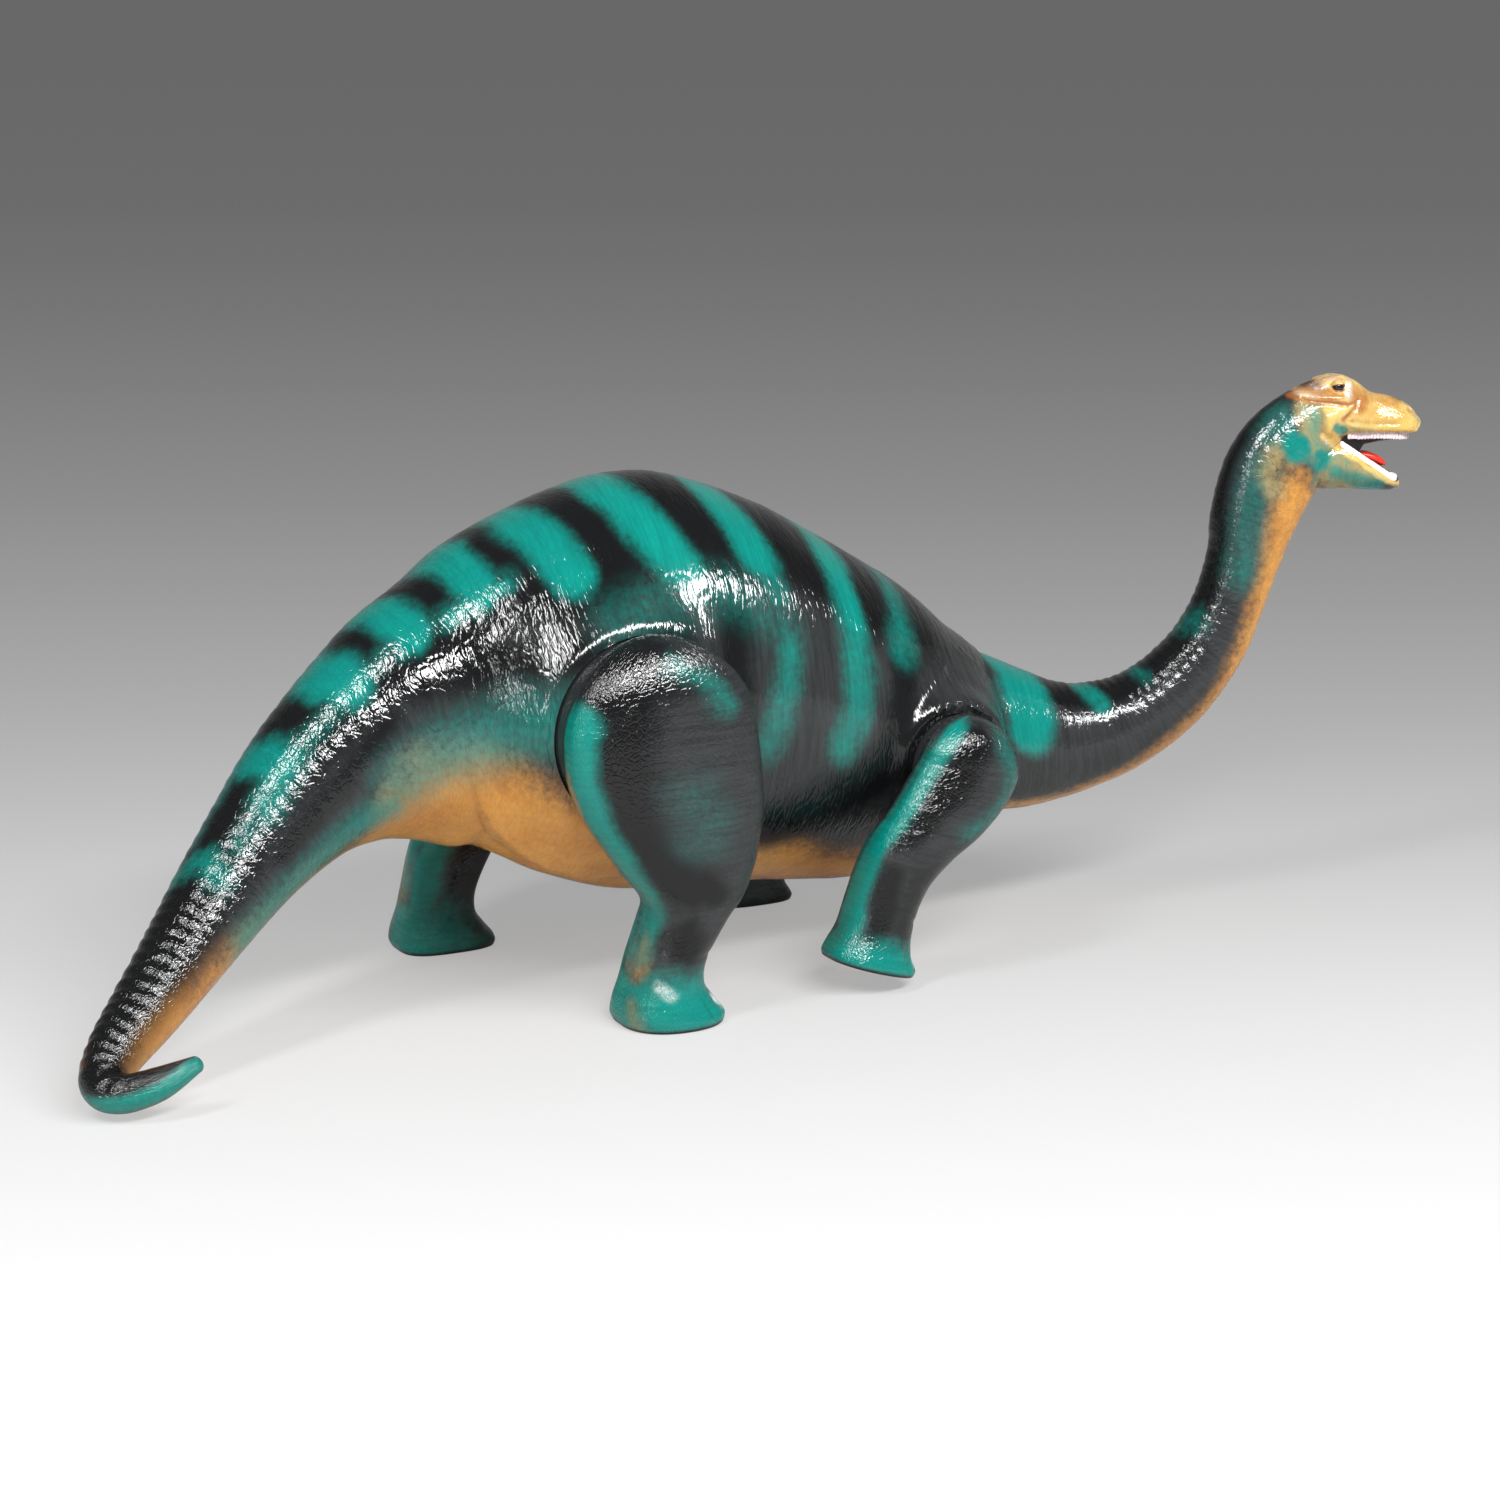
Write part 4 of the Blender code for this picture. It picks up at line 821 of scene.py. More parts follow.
olive = line_cover(r2, h2, OLIVE) * on_side * (1 - gold)
black *= (1 - gold) * (1 - olive)
throat = on_head * (1 - gold) * ramp((95.0 - rise) - np.abs(reach - 103.0) * 0.9, -6, 6)
EYE_PALE = ((1.6, 2.6, 0.2, ((113, 119.2), (116.2, 120.2), (120.4, 121.2), (124.6, 118.6), (123.6, 116))),
            (1, 2, 0.18, ((107, 116.8), (112, 116))),
            (1, 2, 0.18, ((114.4, 101.6), (118.6, 98.6))))
add_covers(neck.data, black=black * (1 - face_teal),
           teal=np.maximum(np.maximum(teal, face_teal), olive * (0.60 + 0.18 * drift)),
           earth=0.82 * np.maximum(np.maximum(earth, throat * (1 - 0.3 * face_teal)), olive),
           gold=np.maximum(gold, olive * 0.45),
           umber=line_cover(reach, rise, UMBER) * on_head * ramp(np.abs(side), 0.2, 1.6),
           worn=line_cover(reach, rise, EYE_PALE) * on_head * on_side)
neck.data.set_sharp_from_angle(angle=SHARP)
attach(neck, "neck_and_head")
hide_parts("neck_head_shell")


# Mouth lining
# The dark palate with the web behind the teeth, and the floor of the lower jaw, each moulded to its jaw.
PALATE = ((121, 97, 4.2), (123, 96.6, 6), (127, 95.4, 6.1), (129.6, 95, 6.1), (130.8, 97, 6.1),
          (132.2, 98.4, 6.1), (136, 99.1, 6.1), (140.5, 99.7, 6), (143.6, 100.3, 5.2), (145.8, 101, 3.6),
          (147, 101.8, 1.6))
palate_rows = np.array([(x, (low + 106.0) / 2, (106.0 - low) / 2, half, 0.0) for x, low, half in PALATE])
FLOOR = ((118.5, 4.4), (121, 6), (126, 6), (132, 6), (137, 5.6), (140.2, 4.4), (142.2, 2.6),
         (143, 1))
LIP_SLOPE = math.radians(-32.9)
LIP_START = (122.5, 98.2)
floor_rows = np.array([(x, LIP_START[1] + (x - LIP_START[0]) * math.tan(LIP_SLOPE) - 0.5, 2.6, half, -32.9)
                       for x, half in FLOOR])


def lining_skin(rows, step):
    """Points of rounded box sections."""
    rows, lengths = evenly(upright(rows), step)
    turns = np.radians(once_round(64, 0))
    c, s = np.cos(turns), np.sin(turns)
    square = np.degrees(np.arctan2(np.sign(s) * np.abs(s) ** 0.45, np.sign(c) * np.abs(c) ** 0.45))
    turns = np.radians(square)
    reach = np.minimum(1 / np.maximum(np.abs(np.cos(turns)), np.abs(np.sin(turns))), 1.25)
    points = oval_skin(rows, square)
    middle = rows[:, None, :3]
    return middle + (points - middle) * reach[None, :, None], lengths


lining_dark = plain_plastic("mouth_lining_paint", (0.012, 0.006, 0.005, 1), (0.004, 0.003, 0.003, 1), 0.28)
floor_red = plain_plastic("mouth_floor_paint", (0.16, 0.020, 0.012, 1), (0.06, 0.010, 0.008, 1), 0.28)
for name, rows, paint in (("palate_lining", palate_rows, lining_dark),
                          ("jaw_floor_lining", floor_rows, floor_red)):
    points, lengths = lining_skin(rows, 0.4)
    lining = skin_mesh(name, from_neck(points), lengths, (paint,))
    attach(lining, "neck_and_head")
    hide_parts("neck_head_shell")


# Teeth
# Rows of small white pegs pressed together along a horseshoe in each jaw, one moulded strip a jaw.


def horseshoe(back, front, half_width, heights):
    """Points of a horseshoe in the neck's plane: back and front reach, and its height at both."""
    turn = front - half_width
    plan = [(x, -half_width) for x in np.linspace(back, turn, 14)]
    plan += [(turn + half_width * math.sin(t), -half_width * math.cos(t))
             for t in np.linspace(0, math.pi, 21)[1:-1]]
    plan += [(x, half_width) for x in np.linspace(turn, back, 14)]
    return [(x, y, float(np.interp(x, heights[0], heights[1]))) for x, y in plan]


def tooth_tree(name, material):
    """A node tree that sets pegs along a path: pitch, width, thickness, height, evenness and seed."""
    tree = bpy.data.node_groups.new(name, "GeometryNodeTree")
    tree.interface.new_socket("Geometry", in_out="INPUT", socket_type="NodeSocketGeometry")
    for label in ("Pitch", "Width", "Thickness", "Height", "Uneven"):
        tree.interface.new_socket(label, in_out="INPUT", socket_type="NodeSocketFloat")
    tree.interface.new_socket("Seed", in_out="INPUT", socket_type="NodeSocketInt")
    tree.interface.new_socket("Geometry", in_out="OUTPUT", socket_type="NodeSocketGeometry")
    given = tree.nodes.new("NodeGroupInput").outputs
    curve = add_node(tree, "GeometryNodeMeshToCurve", {"Mesh": given["Geometry"]}).outputs[0]
    points = add_node(tree, "GeometryNodeCurveToPoints", {"Curve": curve, "Length": given["Pitch"]},
                      mode="LENGTH").outputs
    size = {"X": given["Width"], "Y": given["Thickness"], "Z": given["Height"]}
    peg = {f"Vertices {axis}": 3 for axis in size}
    peg["Size"] = add_node(tree, "ShaderNodeCombineXYZ", size).outputs[0]
    peg = add_node(tree, "GeometryNodeMeshCube", peg).outputs["Mesh"]
    rounded = add_node(tree, "GeometryNodeSubdivisionSurface", {"Mesh": peg, "Level": 2}).outputs[0]
    along_path = add_node(tree, "FunctionNodeAlignRotationToVector", {"Vector": points["Tangent"]},
                          axis="X", pivot_axis="Z").outputs[0]
    low, high = [add_node(tree, "ShaderNodeVectorMath", {0: (1.0, 1.0, 1.0), 1: given["Uneven"]},
                          operation=operation).outputs[0] for operation in ("SUBTRACT", "ADD")]
    vary = add_node(tree, "FunctionNodeRandomValue", {0: low, 1: high, "Seed": given["Seed"]},
                    data_type="FLOAT_VECTOR").outputs[0]
    inputs = {"Points": points["Points"], "Instance": rounded, "Rotation": along_path, "Scale": vary}
    pegs = add_node(tree, "GeometryNodeInstanceOnPoints", inputs).outputs[0]
    pegs = add_node(tree, "GeometryNodeRealizeInstances", {0: pegs}).outputs[0]
    pegs = add_node(tree, "GeometryNodeSetShadeSmooth", {0: pegs}).outputs[0]
    pegs = add_node(tree, "GeometryNodeSetMaterial", {0: pegs, "Material": material}).outputs[0]
    tree.links.new(pegs, tree.nodes.new("NodeGroupOutput").inputs[0])
    return tree


# Name, back and front reach, half width, heights, pitch, width, thickness, height, lift, unevenness, colours
JAW_LINE = ((LIP_START[0], 141.5, 143.0, 150.0), (LIP_START[1], 85.9, 85.3, 85.3))
LIP_LINE = ((124.0, 136.0, 150.0), (102.2, 102.2, 101.4))
TEETH = (
    ("upper_teeth", 125.4, 148.6, 6.9, LIP_LINE, 1.15, 1.22, 1.3, 3.0, -0.2, 0.07,
     (0.80, 0.66, 0.66, 1), (0.66, 0.50, 0.52, 1)),
    ("lower_teeth", 122.9, 144.9, 6.9, JAW_LINE, 0.9, 1.5, 1.5, 2.5, 0.70, 0.03,
     (0.90, 0.88, 0.84, 1), (0.80, 0.77, 0.72, 1)),
)
for name, back, front, half, heights, pitch, width, thick, tall, lift, uneven, light, dark in TEETH:
    path = horseshoe(back, front, half, heights)
    line = bpy.data.meshes.new(name)
    line.from_pydata([tuple(Vector(from_neck((x, y, z + lift))) / 1000) for x, y, z in path],
                     [(i, i + 1) for i in range(len(path) - 1)], [])
    teeth = bpy.data.objects.new(f"{name}_row", line)
    scene.collection.objects.link(teeth)
    tree = tooth_tree(f"{name}_pegs", plain_plastic(f"{name}_enamel", light, dark, 0.22))
    grow = teeth.modifiers.new("pegs", "NODES")
    grow.node_group = tree
    sizes = {"Pitch": pitch / 1000, "Width": width / 1000, "Thickness": thick / 1000, "Height": tall / 1000,
             "Uneven": uneven, "Seed": 7}
    for socket in tree.interface.items_tree:
        if socket.in_out == "INPUT" and socket.name in sizes:
            grow[socket.identifier] = sizes[socket.name]
    settle(teeth)
    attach(teeth, "neck_and_head")
    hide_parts(name)

# Tongue
# One red tongue with a shallow groove along its middle, curled up off the jaw's floor.
TONGUE = ((130, 94.2, 0.9, 1.7, -30), (131.6, 94.2, 1.4, 2.5, -22), (133.6, 94, 1.7, 3, -22),
          (136, 93.2, 1.8, 3.2, -24), (138.2, 92.2, 1.7, 3.1, -30), (140, 91.2, 1.3, 2.5, -34),
          (141, 90.7, 0.7, 1.4, -36))
tongue_rows, tongue_length = evenly(upright(np.array(TONGUE)), 0.25)
tongue_degrees = once_round(72)
tongue_points = oval_skin(tongue_rows, tongue_degrees)
tip = tongue_length[-1]
groove = near(tongue_degrees, 0, 16)[None] * near(tongue_length, tip * 0.45, tip * 0.32)[:, None]
tongue_points -= outward(tongue_points, -1) * (0.45 * groove)[:, :, None]
tongue_points = rounded_end(tongue_points[::-1], reach=0.5)[::-1]
tongue_points = rounded_end(tongue_points, reach=0.6)
tongue_length = np.linspace(0, tip, len(tongue_points))
tongue_red = plain_plastic("tongue_red", (0.72, 0.045, 0.022, 1), (0.52, 0.022, 0.012, 1), 0.20)
tongue = skin_mesh("tongue_skin", from_neck(tongue_points), tongue_length, (tongue_red,))
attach(tongue, "neck_and_head")
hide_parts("tongue")

# Eyes
# A glossy black bead in each side of the head, held by an upper and a lower lid that meet at both corners.
bead_black = plain_plastic("eye_bead_black", (0.005, 0.004, 0.004, 1), (0.002, 0.002, 0.002, 1), 0.08)
bead_black.node_tree.nodes["Principled BSDF"].inputs["Coat Weight"].default_value = 1.0
LID_RADIUS, LID_STEPS = 2.62, 22


def ball_rings(side, turns, round_turns, radii):
    """Rings about an axis that runs ahead through the eye's middle, one for each turn."""
    arc = np.sin(turns)[:, None]
    ahead = np.repeat(np.cos(turns)[:, None], len(round_turns), 1)
    out, up = side * arc * np.cos(round_turns)[None], arc * np.sin(round_turns)[None]
    return np.stack([ahead * radii, out * radii, up * radii], 2)


for side, name in ((-1, "right_eye"), (1, "left_eye")):
    centre = np.array((EYE[0], side * EYE[1], EYE[2]))
    turns, slants = np.radians(np.arange(0, 180.1, 6)), np.radians(once_round(48, 0))
    ball = ball_rings(side, turns, slants, EYE_RADIUS)
    lengths = np.degrees(turns[1:-1]) / 30
    bead = skin_mesh(f"{name}_bead", from_neck(centre + ball[1:-1]), lengths, (bead_black,))
    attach(bead, "neck_and_head")
    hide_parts(name)

    for lid, opening, tall in (("upper", 24.0, 1), ("lower", 26.0, -1)):
        sweep = np.linspace(opening, 170, LID_STEPS)
        sweep = np.radians(np.concatenate([sweep, np.linspace(170, opening, LID_STEPS)]))
        shell = np.repeat((LID_RADIUS, EYE_RADIUS), LID_STEPS)
        shell[[0, -1]] = (2.50, 2.32)
        turns = np.radians(np.linspace(4, 176, 40))
        ring = ball_rings(side, turns, sweep, shell[None])
        ring[:, :, 2] *= tall
        skin = skin_mesh(f"{name}_{lid}_lid", from_neck(centre + ring), np.degrees(turns) / 20, (vinyl_neck,))
        edge = np.concatenate([np.tile(near(np.degrees(sweep), opening, 9), 40), [0, 0]])
        add_covers(skin.data, gold=1.0, umber=0.9 * edge + (0.25 if tall > 0 else 0.35))
        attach(skin, "neck_and_head")
        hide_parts("neck_head_shell")


# Legs
# Four hollow mouldings, each with a round hub that turns in its socket, a domed thigh, a shank and a foot
# with soft toes, whose bottom edge is painted black as a painted contact shadow. All four share one way of
# making; only the stride and the swing differ.

# Height, rear edge, front edge, inner side and outer side as shares of the leg's length, lobe and thickness
HIND_SHARES = (
    (0, -1, 1, 0, 0.99), (-0.12, -0.98, 1.03, 0, 1.02), (-0.235, -0.85, 1.04, 0, 1.03),
    (-0.345, -0.65, 1.01, 0, 1), (-0.455, -0.4, 0.98, -0.25, 0.92), (-0.565, -0.13, 0.89, -0.45, 0.8),
    (-0.645, -0.13, 0.74, -0.56, 0.7), (-0.775, -0.24, 0.52, -0.62, 0.66), (-0.86, -0.3, 0.48, -0.68, 0.68),
    (-0.92, -0.36, 0.58, -0.74, 0.74), (-0.972, -0.39, 0.7, -0.77, 0.8), (-1, -0.36, 0.69, -0.74, 0.77),
)
FRONT_SHARES = (
    (0, -1, 1, 0, 0.97), (-0.12, -1, 1.02, 0, 1.02), (-0.27, -0.99, 0.9, 0, 1.03),
    (-0.42, -0.97, 0.66, -0.16, 1), (-0.555, -0.81, 0.59, -0.28, 0.88), (-0.69, -0.7, 0.62, -0.36, 0.78),
    (-0.83, -0.7, 0.65, -0.4, 0.78), (-0.915, -0.8, 0.76, -0.44, 0.86), (-0.97, -0.86, 0.9, -0.47, 0.92),
    (-1, -0.82, 0.88, -0.44, 0.88),
)
# Name, side, shares, thickness, start, stride, swing and socket, whose height is the leg's length
LEGS = (
    ("right_hind", -1, HIND_SHARES, 20.5, 55.5, 1.0, 0.0, HIP),
    ("left_hind", 1, HIND_SHARES, 20.5, 55.5, -33.5, 0.0, HIP),
    ("right_front", -1, FRONT_SHARES, 18.0, 52.5, -15.0, 17.0, SHOULDER),
    ("left_front", 1, FRONT_SHARES, 18.0, 52.5, -23.0, 0.0, SHOULDER),
)
vinyl_legs = painted_vinyl("painted_vinyl_legs", 0.00010, 0.11, 2.2)
leg_degrees = once_round(112, 0)

# Height and degrees round the section: 0 is the front edge, 90 the outer side and 180 the rear edge
HIND_TEAL = (
    (8.2, 6, 1, ((6, 166), (-12, 165), (-30, 169), (-46, 176))),
    (4.5, 6, 0.9, ((-46, 174), (-58, 167), (-70, 170))),
    (3.6, 14, 0.22, ((-14, 84), (-24, 78), (-32, 84))),
    (2.6, 8, 0.55, ((23, 84), (20, 68), (12, 56))),
    (1.6, 3.5, 0.6, ((-38, 2), (-54, 6), (-62, 12), (-74, 14))),
    (7, 7, 0.95, ((-30, 218), (-55, 220), (-92, 222))),
)
HIND_BLACK = (
    (8, 8, 1, ((16, 126), (0, 124), (-18, 127), (-36, 126), (-46, 108))),
    (9, 9, 0.9, ((28, 150), (26, 120), (22, 100))),
    (6, 7, 0.9, ((18, 160), (14, 140))),
    (4, 5, 1, ((-44, 96), (-50, 88))),
    (5, 6, 1, ((-62, 112), (-68, 96))),
    (8, 7, 0.95, ((-10, 290), (-50, 296), (-92, 306))),
)
HIND_TAN = (
    (1.4, 4.5, 0.8, ((-8, 184), (-35, 184), (-50, 188))),
    (2.6, 7, 0.6, ((-66, 168), (-76, 164))),
    (2.6, 7, 0.6, ((-86, 160), (-92, 150))),
)
FRONT_TEAL = (
    (4.8, 5, 1, ((12, 150), (2, 160), (-18, 163), (-34, 168), (-50, 166), (-60, 164))),
    (3.6, 9, 0.46, ((12, 56), (0, 42), (-12, 46), (-18, 58))),
    (1.2, 3, 0.4, ((-30, 4), (-48, 4))),
    (4, 6, 0.6, ((-30, 210), (-66, 215))),
)
FRONT_BLACK = (
    (5.4, 6, 1, ((10, 112), (-8, 116), (-24, 128))),
    (5, 6, 1, ((-40, 122), (-50, 108), (-58, 112))),
    (4, 7, 0.7, ((-36, 70), (-56, 70))),
    (5, 6, 0.9, ((-10, 290), (-66, 300))),
)


def leg_rows(shares, length, hub, thickness, start, stride):
    """Height, rear, front, inner and outer of each section: a lobe above the pivot, then the shares."""
    lobe = hub + 1.2
    rows = []
    for turn in (88.5, 86, 82, 77, 71, 64, 56, 47, 37, 26, 13):
        half = lobe * math.cos(math.radians(turn))
        outer = np.interp(turn, (0, 20, 42, 62, 80, 90), (0.97, 0.93, 0.79, 0.58, 0.34, 0.16))
        rows.append((lobe * math.sin(math.radians(turn)), -half, half, start, start + outer * thickness))
    for height, rear, front, inner, outer in shares:
        shift = stride * min(-height / 0.62, 1.0)
        rows.append((height * length, rear * lobe + shift, front * lobe + shift,
                     start + inner * thickness, start + outer * thickness))
    return np.array(rows, float)


for name, side, shares, thickness, start, stride, swing, (px, length, hub, *_, face) in LEGS:
    hind = shares is HIND_SHARES
    rows = leg_rows(shares, length, hub, thickness, start, stride)
    t = np.linspace(0, len(rows) - 1, 40 * (len(rows) - 1) + 1)
    heights = along(rows, t)[:, 0]
    wanted = np.linspace(heights[0], heights[-1], int((heights[0] - heights[-1]) / 0.5))
    rows = along(rows, np.interp(-wanted, -heights, t))
    c, s = np.cos(np.radians(leg_degrees)), np.sin(np.radians(leg_degrees))
    across = np.sign(s) * np.abs(s) ** np.where(s > 0, 0.9, 0.5)
    ahead = np.sign(c) * np.abs(c) ** np.where(s > 0, 0.9, 0.7)
    middle_x, half_x = (rows[:, 1] + rows[:, 2]) / 2, (rows[:, 2] - rows[:, 1]) / 2
    middle_y, half_y = (rows[:, 3] + rows[:, 4]) / 2, (rows[:, 4] - rows[:, 3]) / 2
    height = np.repeat(rows[:, :1], len(leg_degrees), 1)
    degrees = np.repeat(leg_degrees[None], len(rows), 0)
    sole = np.exp(-np.clip(height + length, 0, None) / 0.9)
    x = middle_x[:, None] + half_x[:, None] * ahead[None]
    y = middle_y[:, None] + half_y[:, None] * across[None]
    points = np.stack([x, y, height], 2)

    # Thigh, shank and foot relief
    v = degrees / 360
    seed = 50 if hind else 60
    wander = patchy(height / 12, v * 9, seed, 9)
    relief = 0.17 * patchy(height / 8, v * 7, seed + 1, 7)
    relief += 0.07 * creases(height / 6.5 + 0.9 * wander, v * 22 + 0.7 * wander, seed + 2, 22)
    if not hind:
        calf = near(degrees, 135, 45) * ramp(height, -34, -20)
        relief += 0.14 * creases(height / 2.4 + 0.8 * wander, v * 5, seed + 4, 5) * calf
    foot = 1 - ramp(height + length, 3, 13)
    for toe in (-32, -8, 18, 44):
        groove = np.minimum(np.abs(degrees - (toe + 13)), np.abs(degrees - 360 - (toe + 13)))
        relief -= 0.9 * foot * np.exp(-(groove / 4.5) ** 2) * ramp(height + length, 0.4, 2.0)
    ankle = length * 0.80
    relief -= 0.35 * near(height, -ankle + 4, 1.2) * near(degrees, 20, 60)
    relief *= 1 - 0.8 * ramp(np.sin(np.radians(degrees)), -0.2, -0.75)
    relief *= (1 - sole) * ramp(rows[0, 0] - height, 0, 6)
    direction = outward(points)
    if ((points - points.mean(1, keepdims=True)) * direction).sum() < 0:
        direction = -direction
    points = points + direction * relief[:, :, None]
    points[:, :, 1] = np.where(height > -0.3 * length, np.maximum(points[:, :, 1], start), points[:, :, 1])
    flat = points[-1]
    middle = flat.mean(0)
    points = np.concatenate([points, np.array([middle + (flat - middle) * k for k in (0.97, 0.6)])])
    points[-2:, :, 2] = -length
    points[:, :, 1] *= side

    # Into place: turned about the pivot, with the hub as a second closed form
    c, s = math.cos(math.radians(swing)), math.sin(math.radians(swing))
    turned = points.copy()
    turned[:, :, 0] = points[:, :, 0] * c + points[:, :, 2] * s + px
    turned[:, :, 2] = -points[:, :, 0] * s + points[:, :, 2] * c + length
    leg_length = np.concatenate([rows[0, 0] - rows[:, 0], [rows[0, 0] - rows[-1, 0] + 0.3] * 2])
    leg = skin_mesh(f"{name}_leg_skin", kept_inside(turned), leg_length, (vinyl_legs,))
    all_height = np.concatenate([points[:, :, 2].ravel(), [points[0, 0, 2], -length]])
    all_degrees = np.concatenate([np.tile(leg_degrees, len(points)), [90, 90]])
    spread = np.abs(points[:, :, 0] - points[:, :, 0].mean(1, keepdims=True)).mean(1)
    radius = np.concatenate([np.repeat((spread + 8) / 2 + 4, len(leg_degrees)), [4, 8]])
    h2 = all_height + 1.3 * patchy(all_height / 6, all_degrees / 14, seed + 6)
    d2 = all_degrees + 5 * patchy(all_height / 8, all_degrees / 24, seed + 7)
    teal = sprayed(h2, d2, radius, HIND_TEAL if hind else FRONT_TEAL)
    black = sprayed(h2, d2, radius, HIND_BLACK if hind else FRONT_BLACK)
    foot_top = 18 if hind else 10
    foot_paint = 1 - ramp(h2 + length, foot_top - 6, foot_top + 5)
    if name == "left_front":
        foot_paint *= 0.25
    foot_paint *= 1 - 0.75 * near(d2, 306, 44)
    tan = sprayed(h2, d2, radius, HIND_TAN if hind else ())
    teal = np.maximum(teal, foot_paint) * (1 - 0.75 * tan)
    if not hind:
        black = np.maximum(black, 0.8 * near(h2, 7 - length, 4) * near(d2, 88, 34))
    # Painted shadow: the bottom millimetre of each foot is painted black where it meets the floor.
    under = 1 - ramp(all_height + length, 0.7, 1.3)
    # Pale paint at each toe is rubbed wear strengthened as a painted highlight; the second stroke, on the
    # hind feet only, is a painted highlight.
    rubbed_and_highlight = sprayed(all_height, all_degrees, radius, (
        (1.5, 3.0, 0.75, ((7 - length, 26), (3 - length, 12))),
        (1.3, 3.6, 0.50, ((15 - length, 124), (12 - length, 104))))[:2 if hind else 1])
    add_covers(leg.data, teal=teal * (1 - under), black=np.maximum(black, under), earth=tan * 0.8,
               worn=rubbed_and_highlight)

    hub_bm = bmesh.new()
    hub_bm.from_mesh(leg.data)
    from_y, to_y = face + 0.3, start + thickness * 0.16
    add_cylinder(hub_bm, (px, side * (from_y + to_y) / 2, length), hub, to_y - from_y, ACROSS)
    hub_bm.to_mesh(leg.data)
    hub_bm.free()
    leg.data.set_sharp_from_angle(angle=SHARP)
    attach(leg, f"{name}_leg")
    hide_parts(f"{name}_leg_shell")


# Snap plugs and rings
# Stiff pale mouldings inside the body that hold the neck and the legs; they keep the solids' own shapes.
pale_plug = plain_plastic("pale_snap_plastic", (0.70, 0.68, 0.61, 1), (0.60, 0.58, 0.51, 1), 0.48)
grey_ring = plain_plastic("grey_ring_plastic", (0.52, 0.52, 0.49, 1), (0.42, 0.42, 0.40, 1), 0.50)
for joint in ("neck", "right_hind", "left_hind", "right_front", "left_front"):
    for piece, plastic in (("plug", pale_plug), ("washer", grey_ring)):
        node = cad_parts[f"{joint}_{piece}"]
        for place in node.material_slots:
            place.material = plastic


# Studio
# A pale floor that rises into a backdrop and falls off in brightness away from the camera, with soft lamps.
CAMERA_PLACE = Vector((-0.45695, -0.90599, 0.31395))
CAMERA_AIM = Vector((-0.0155, -0.0396, 0.0805))
CAMERA_LENS, CAMERA_SENSOR, CAMERA_PITCH = 74.4, 36.0, math.radians(13.5)
PHOTO_SIZE = 1500
camera_data = bpy.data.cameras.new("camera")
camera_data.lens = CAMERA_LENS
camera_data.sensor_width = CAMERA_SENSOR
camera = bpy.data.objects.new("camera", camera_data)
camera.location = CAMERA_PLACE
camera.rotation_euler = (CAMERA_AIM - CAMERA_PLACE).to_track_quat("-Z", "Y").to_euler()
scene.collection.objects.link(camera)
scene.camera = camera

ahead = (CAMERA_AIM - CAMERA_PLACE)
ahead.z = 0
ahead.normalize()
beside = Vector((ahead.y, -ahead.x, 0))
stage_bm = bmesh.new()
tone = stage_bm.verts.layers.float.new("tone")
lit = stage_bm.verts.layers.float.new("lit")
FLOOR_END, CURVE = 2.2, 0.6
profile = [(d, 0.0) for d in (-14, -11, -9, -7, -5.5, -4, -3, -2, -1.4, -1, -0.7)]
profile += [(d, 0.0) for d in np.linspace(-0.5, FLOOR_END, 55)]
profile += [(FLOOR_END + CURVE * math.sin(t), CURVE - CURVE * math.cos(t))
            for t in np.radians(np.arange(6, 91, 6))]
profile += [(FLOOR_END + CURVE, z) for z in (0.9, 1.4, 2.2, 3.4)]
# Brightness of the backdrop by the row of the picture that sees it
ROW_TONES = ((0, 0.136), (200, 0.147), (300, 0.175), (400, 0.216), (500, 0.266), (600, 0.339), (700, 0.433),
             (800, 0.543), (900, 0.638), (1000, 0.737), (1100, 0.811), (1200, 0.871), (1300, 0.937),
             (1400, 1.0))
loops = []
for d, z in profile:
    if d < 0.58:
        level = float(np.interp(d, (-4.0, -1.0, 0.0, 0.58), (0.36, 0.40, 0.52, 1.0)))
    else:
        below = math.atan2(CAMERA_PLACE.z - z, d) - CAMERA_PITCH
        row = PHOTO_SIZE * (0.5 + CAMERA_LENS / CAMERA_SENSOR * math.tan(below))
        level = float(np.interp(row, *zip(*ROW_TONES)))
    loop = []
    for w in (-14, -6, -3, -1.2, -0.5, 0.0, 0.5, 1.2, 3, 6, 14):
        spot = Vector((CAMERA_PLACE.x, CAMERA_PLACE.y, 0)) + ahead * d + beside * w
        vert = stage_bm.verts.new((spot.x, spot.y, z - 0.0002))
        vert[tone] = level
        vert[lit] = 0.46 * math.exp(-((d - 1.0) / 0.42) ** 2)
        loop.append(vert)
    loops.append(loop)
for first, second in zip(loops, loops[1:]):
    for i in range(len(first) - 1):
        stage_bm.faces.new((first[i], first[i + 1], second[i + 1], second[i]))
bmesh.ops.recalc_face_normals(stage_bm, faces=stage_bm.faces)
stage_mesh = bpy.data.meshes.new("floor_and_backdrop")
stage_bm.to_mesh(stage_mesh)
stage_bm.free()
stage_mesh.shade_smooth()
backdrop = bpy.data.objects.new("floor_and_backdrop", stage_mesh)
scene.collection.objects.link(backdrop)
paper, tree, _ = new_material("backdrop_paper")
shade, share = [add_node(tree, "ShaderNodeAttribute", attribute_name=name).outputs
                for name in ("tone", "lit")]
path = add_node(tree, "ShaderNodeLightPath").outputs
mirrored = math_node(tree, "MULTIPLY", path["Is Glossy Ray"], 0.26)
seen = math_node(tree, "MAXIMUM", path["Is Camera Ray"], mirrored)
own = mix_node(tree, math_node(tree, "MULTIPLY", share["Fac"], 0.74), (0, 0, 0, 1), shade["Color"])
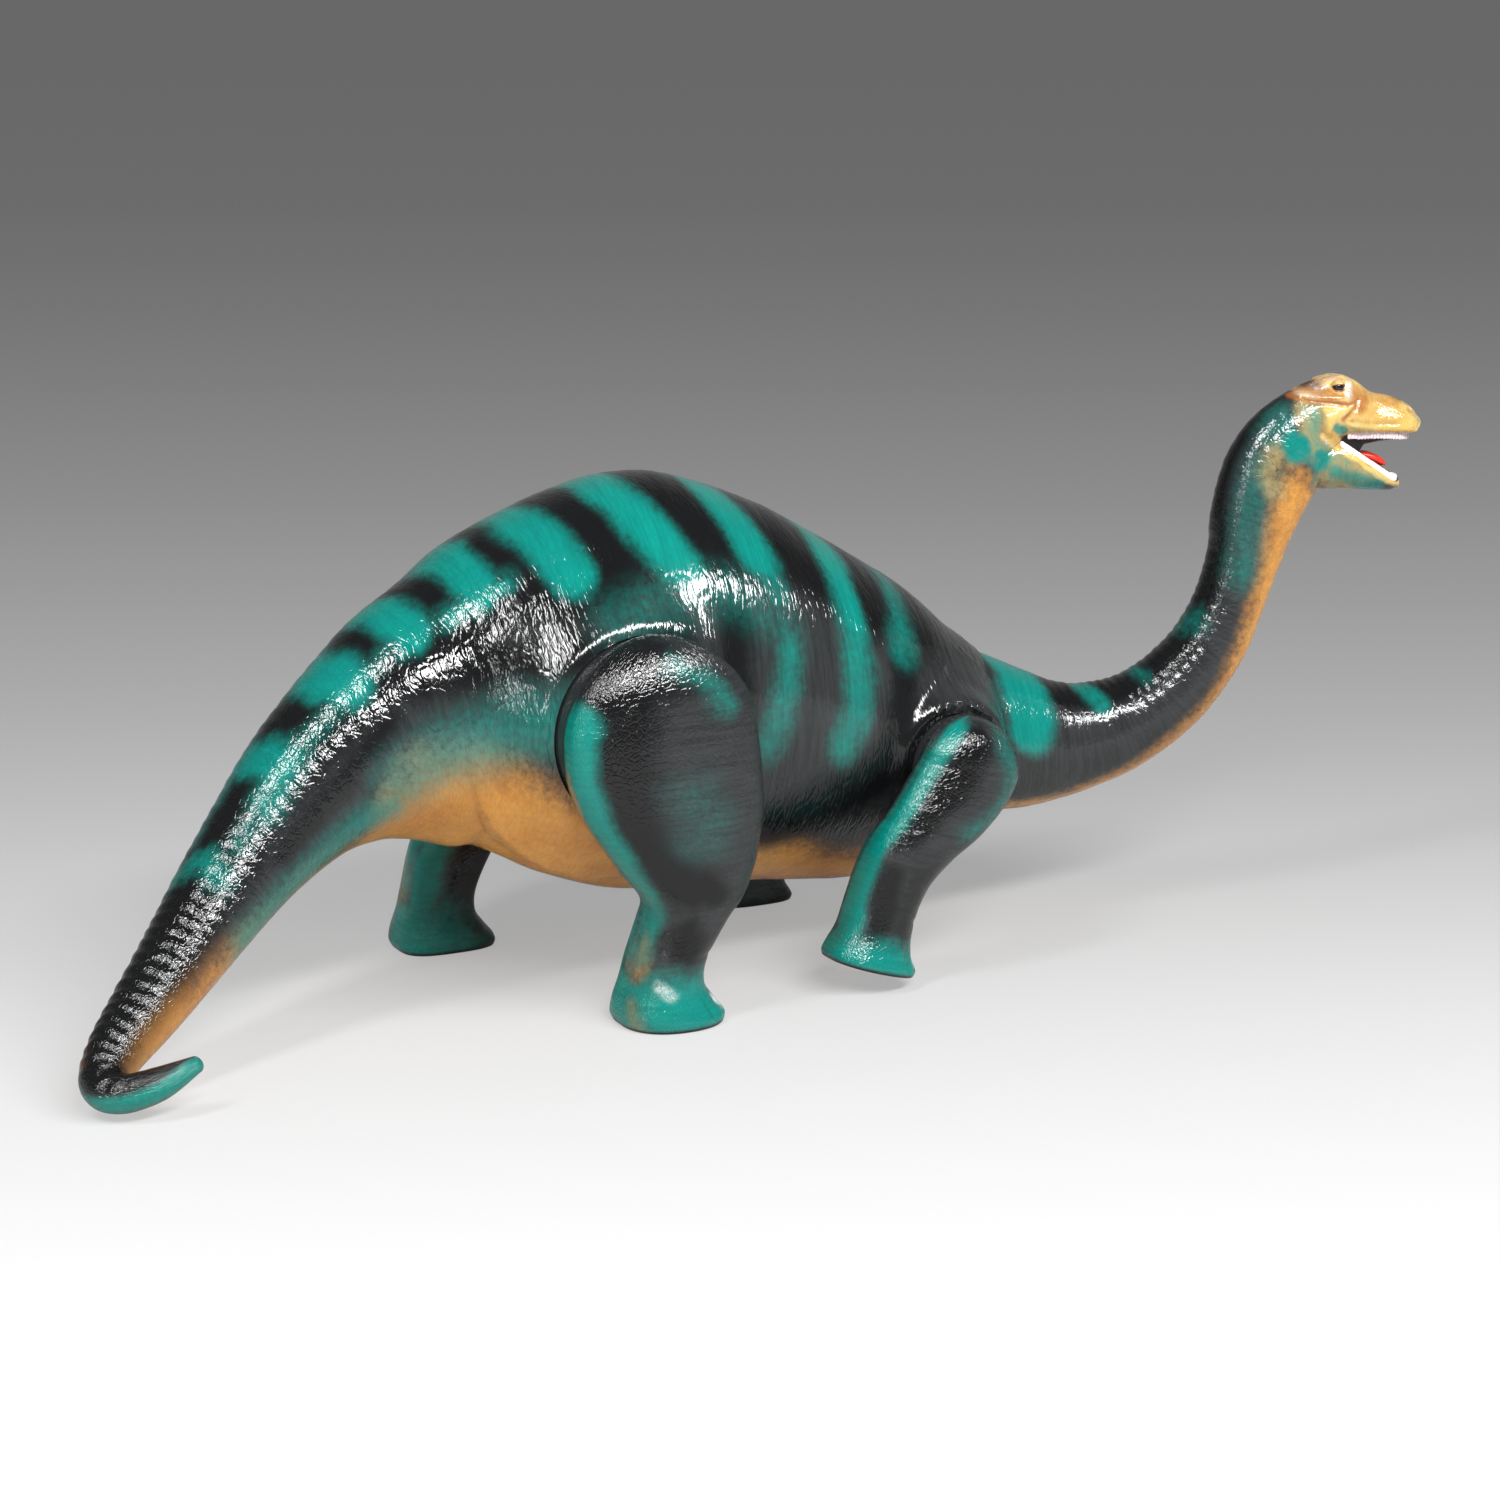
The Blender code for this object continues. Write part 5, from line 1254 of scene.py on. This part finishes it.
bounced = mix_node(tree, path["Is Glossy Ray"], (0.68, 0.68, 0.68, 1), (0.30, 0.30, 0.30, 1))
own = mix_node(tree, path["Is Camera Ray"], bounced, own)
glow = mix_node(tree, math_node(tree, "SUBTRACT", 1.0, share["Fac"]), (0, 0, 0, 1), shade["Color"])
shader = tree.nodes["Principled BSDF"]
for label, value in (("Base Color", own), ("Emission Color", glow), ("Emission Strength", seen)):
    tree.links.new(value, shader.inputs[label])
shader.inputs["Roughness"].default_value = 1.0
shader.inputs["Specular IOR Level"].default_value = 0.0
stage_mesh.materials.append(paper)

LAMPS = (
    # Azimuth and height in degrees, distance, width and height in metres, watts, roll in degrees
    ("overhead_strip", 7, 43, 1.5, 1.55, 0.20, 38, 5),
    ("left_softbox", -64, 47, 1.4, 0.20, 0.52, 9, 0),
    ("low_left_softbox", -62, 14, 1.6, 0.10, 0.50, 2.5, 0),
)
LAMP_AIM = Vector((0, 0, 0.09))
for name, azimuth, height, distance, width, tall, power, roll in LAMPS:
    turn, climb = math.radians(azimuth), math.radians(height)
    away = Vector((math.sin(turn) * math.cos(climb), -math.cos(turn) * math.cos(climb), math.sin(climb)))
    light = bpy.data.lights.new(name, "AREA")
    light.shape, light.size, light.size_y, light.energy = "RECTANGLE", width, tall, power
    lamp = bpy.data.objects.new(name, light)
    lamp.location = away * distance + LAMP_AIM
    facing = (LAMP_AIM - lamp.location).to_track_quat("-Z", "Y").to_matrix()
    lamp.rotation_euler = (facing @ Matrix.Rotation(math.radians(roll), 3, "Z")).to_euler()
    scene.collection.objects.link(lamp)

world = bpy.data.worlds.new("studio_air")
world.use_nodes = True
tree = world.node_tree
air = tree.nodes["Background"]
air.inputs["Color"].default_value = (0.50, 0.51, 0.52, 1)
facing = add_node(tree, "ShaderNodeTexCoord").outputs["Generated"]
upward = add_node(tree, "ShaderNodeSeparateXYZ", {0: facing}).outputs["Z"]
tree.links.new(step_node(tree, upward, 0.0, 0.6, 0.46, 0.28), air.inputs["Strength"])
scene.world = world
scene.view_settings.view_transform = "Standard"
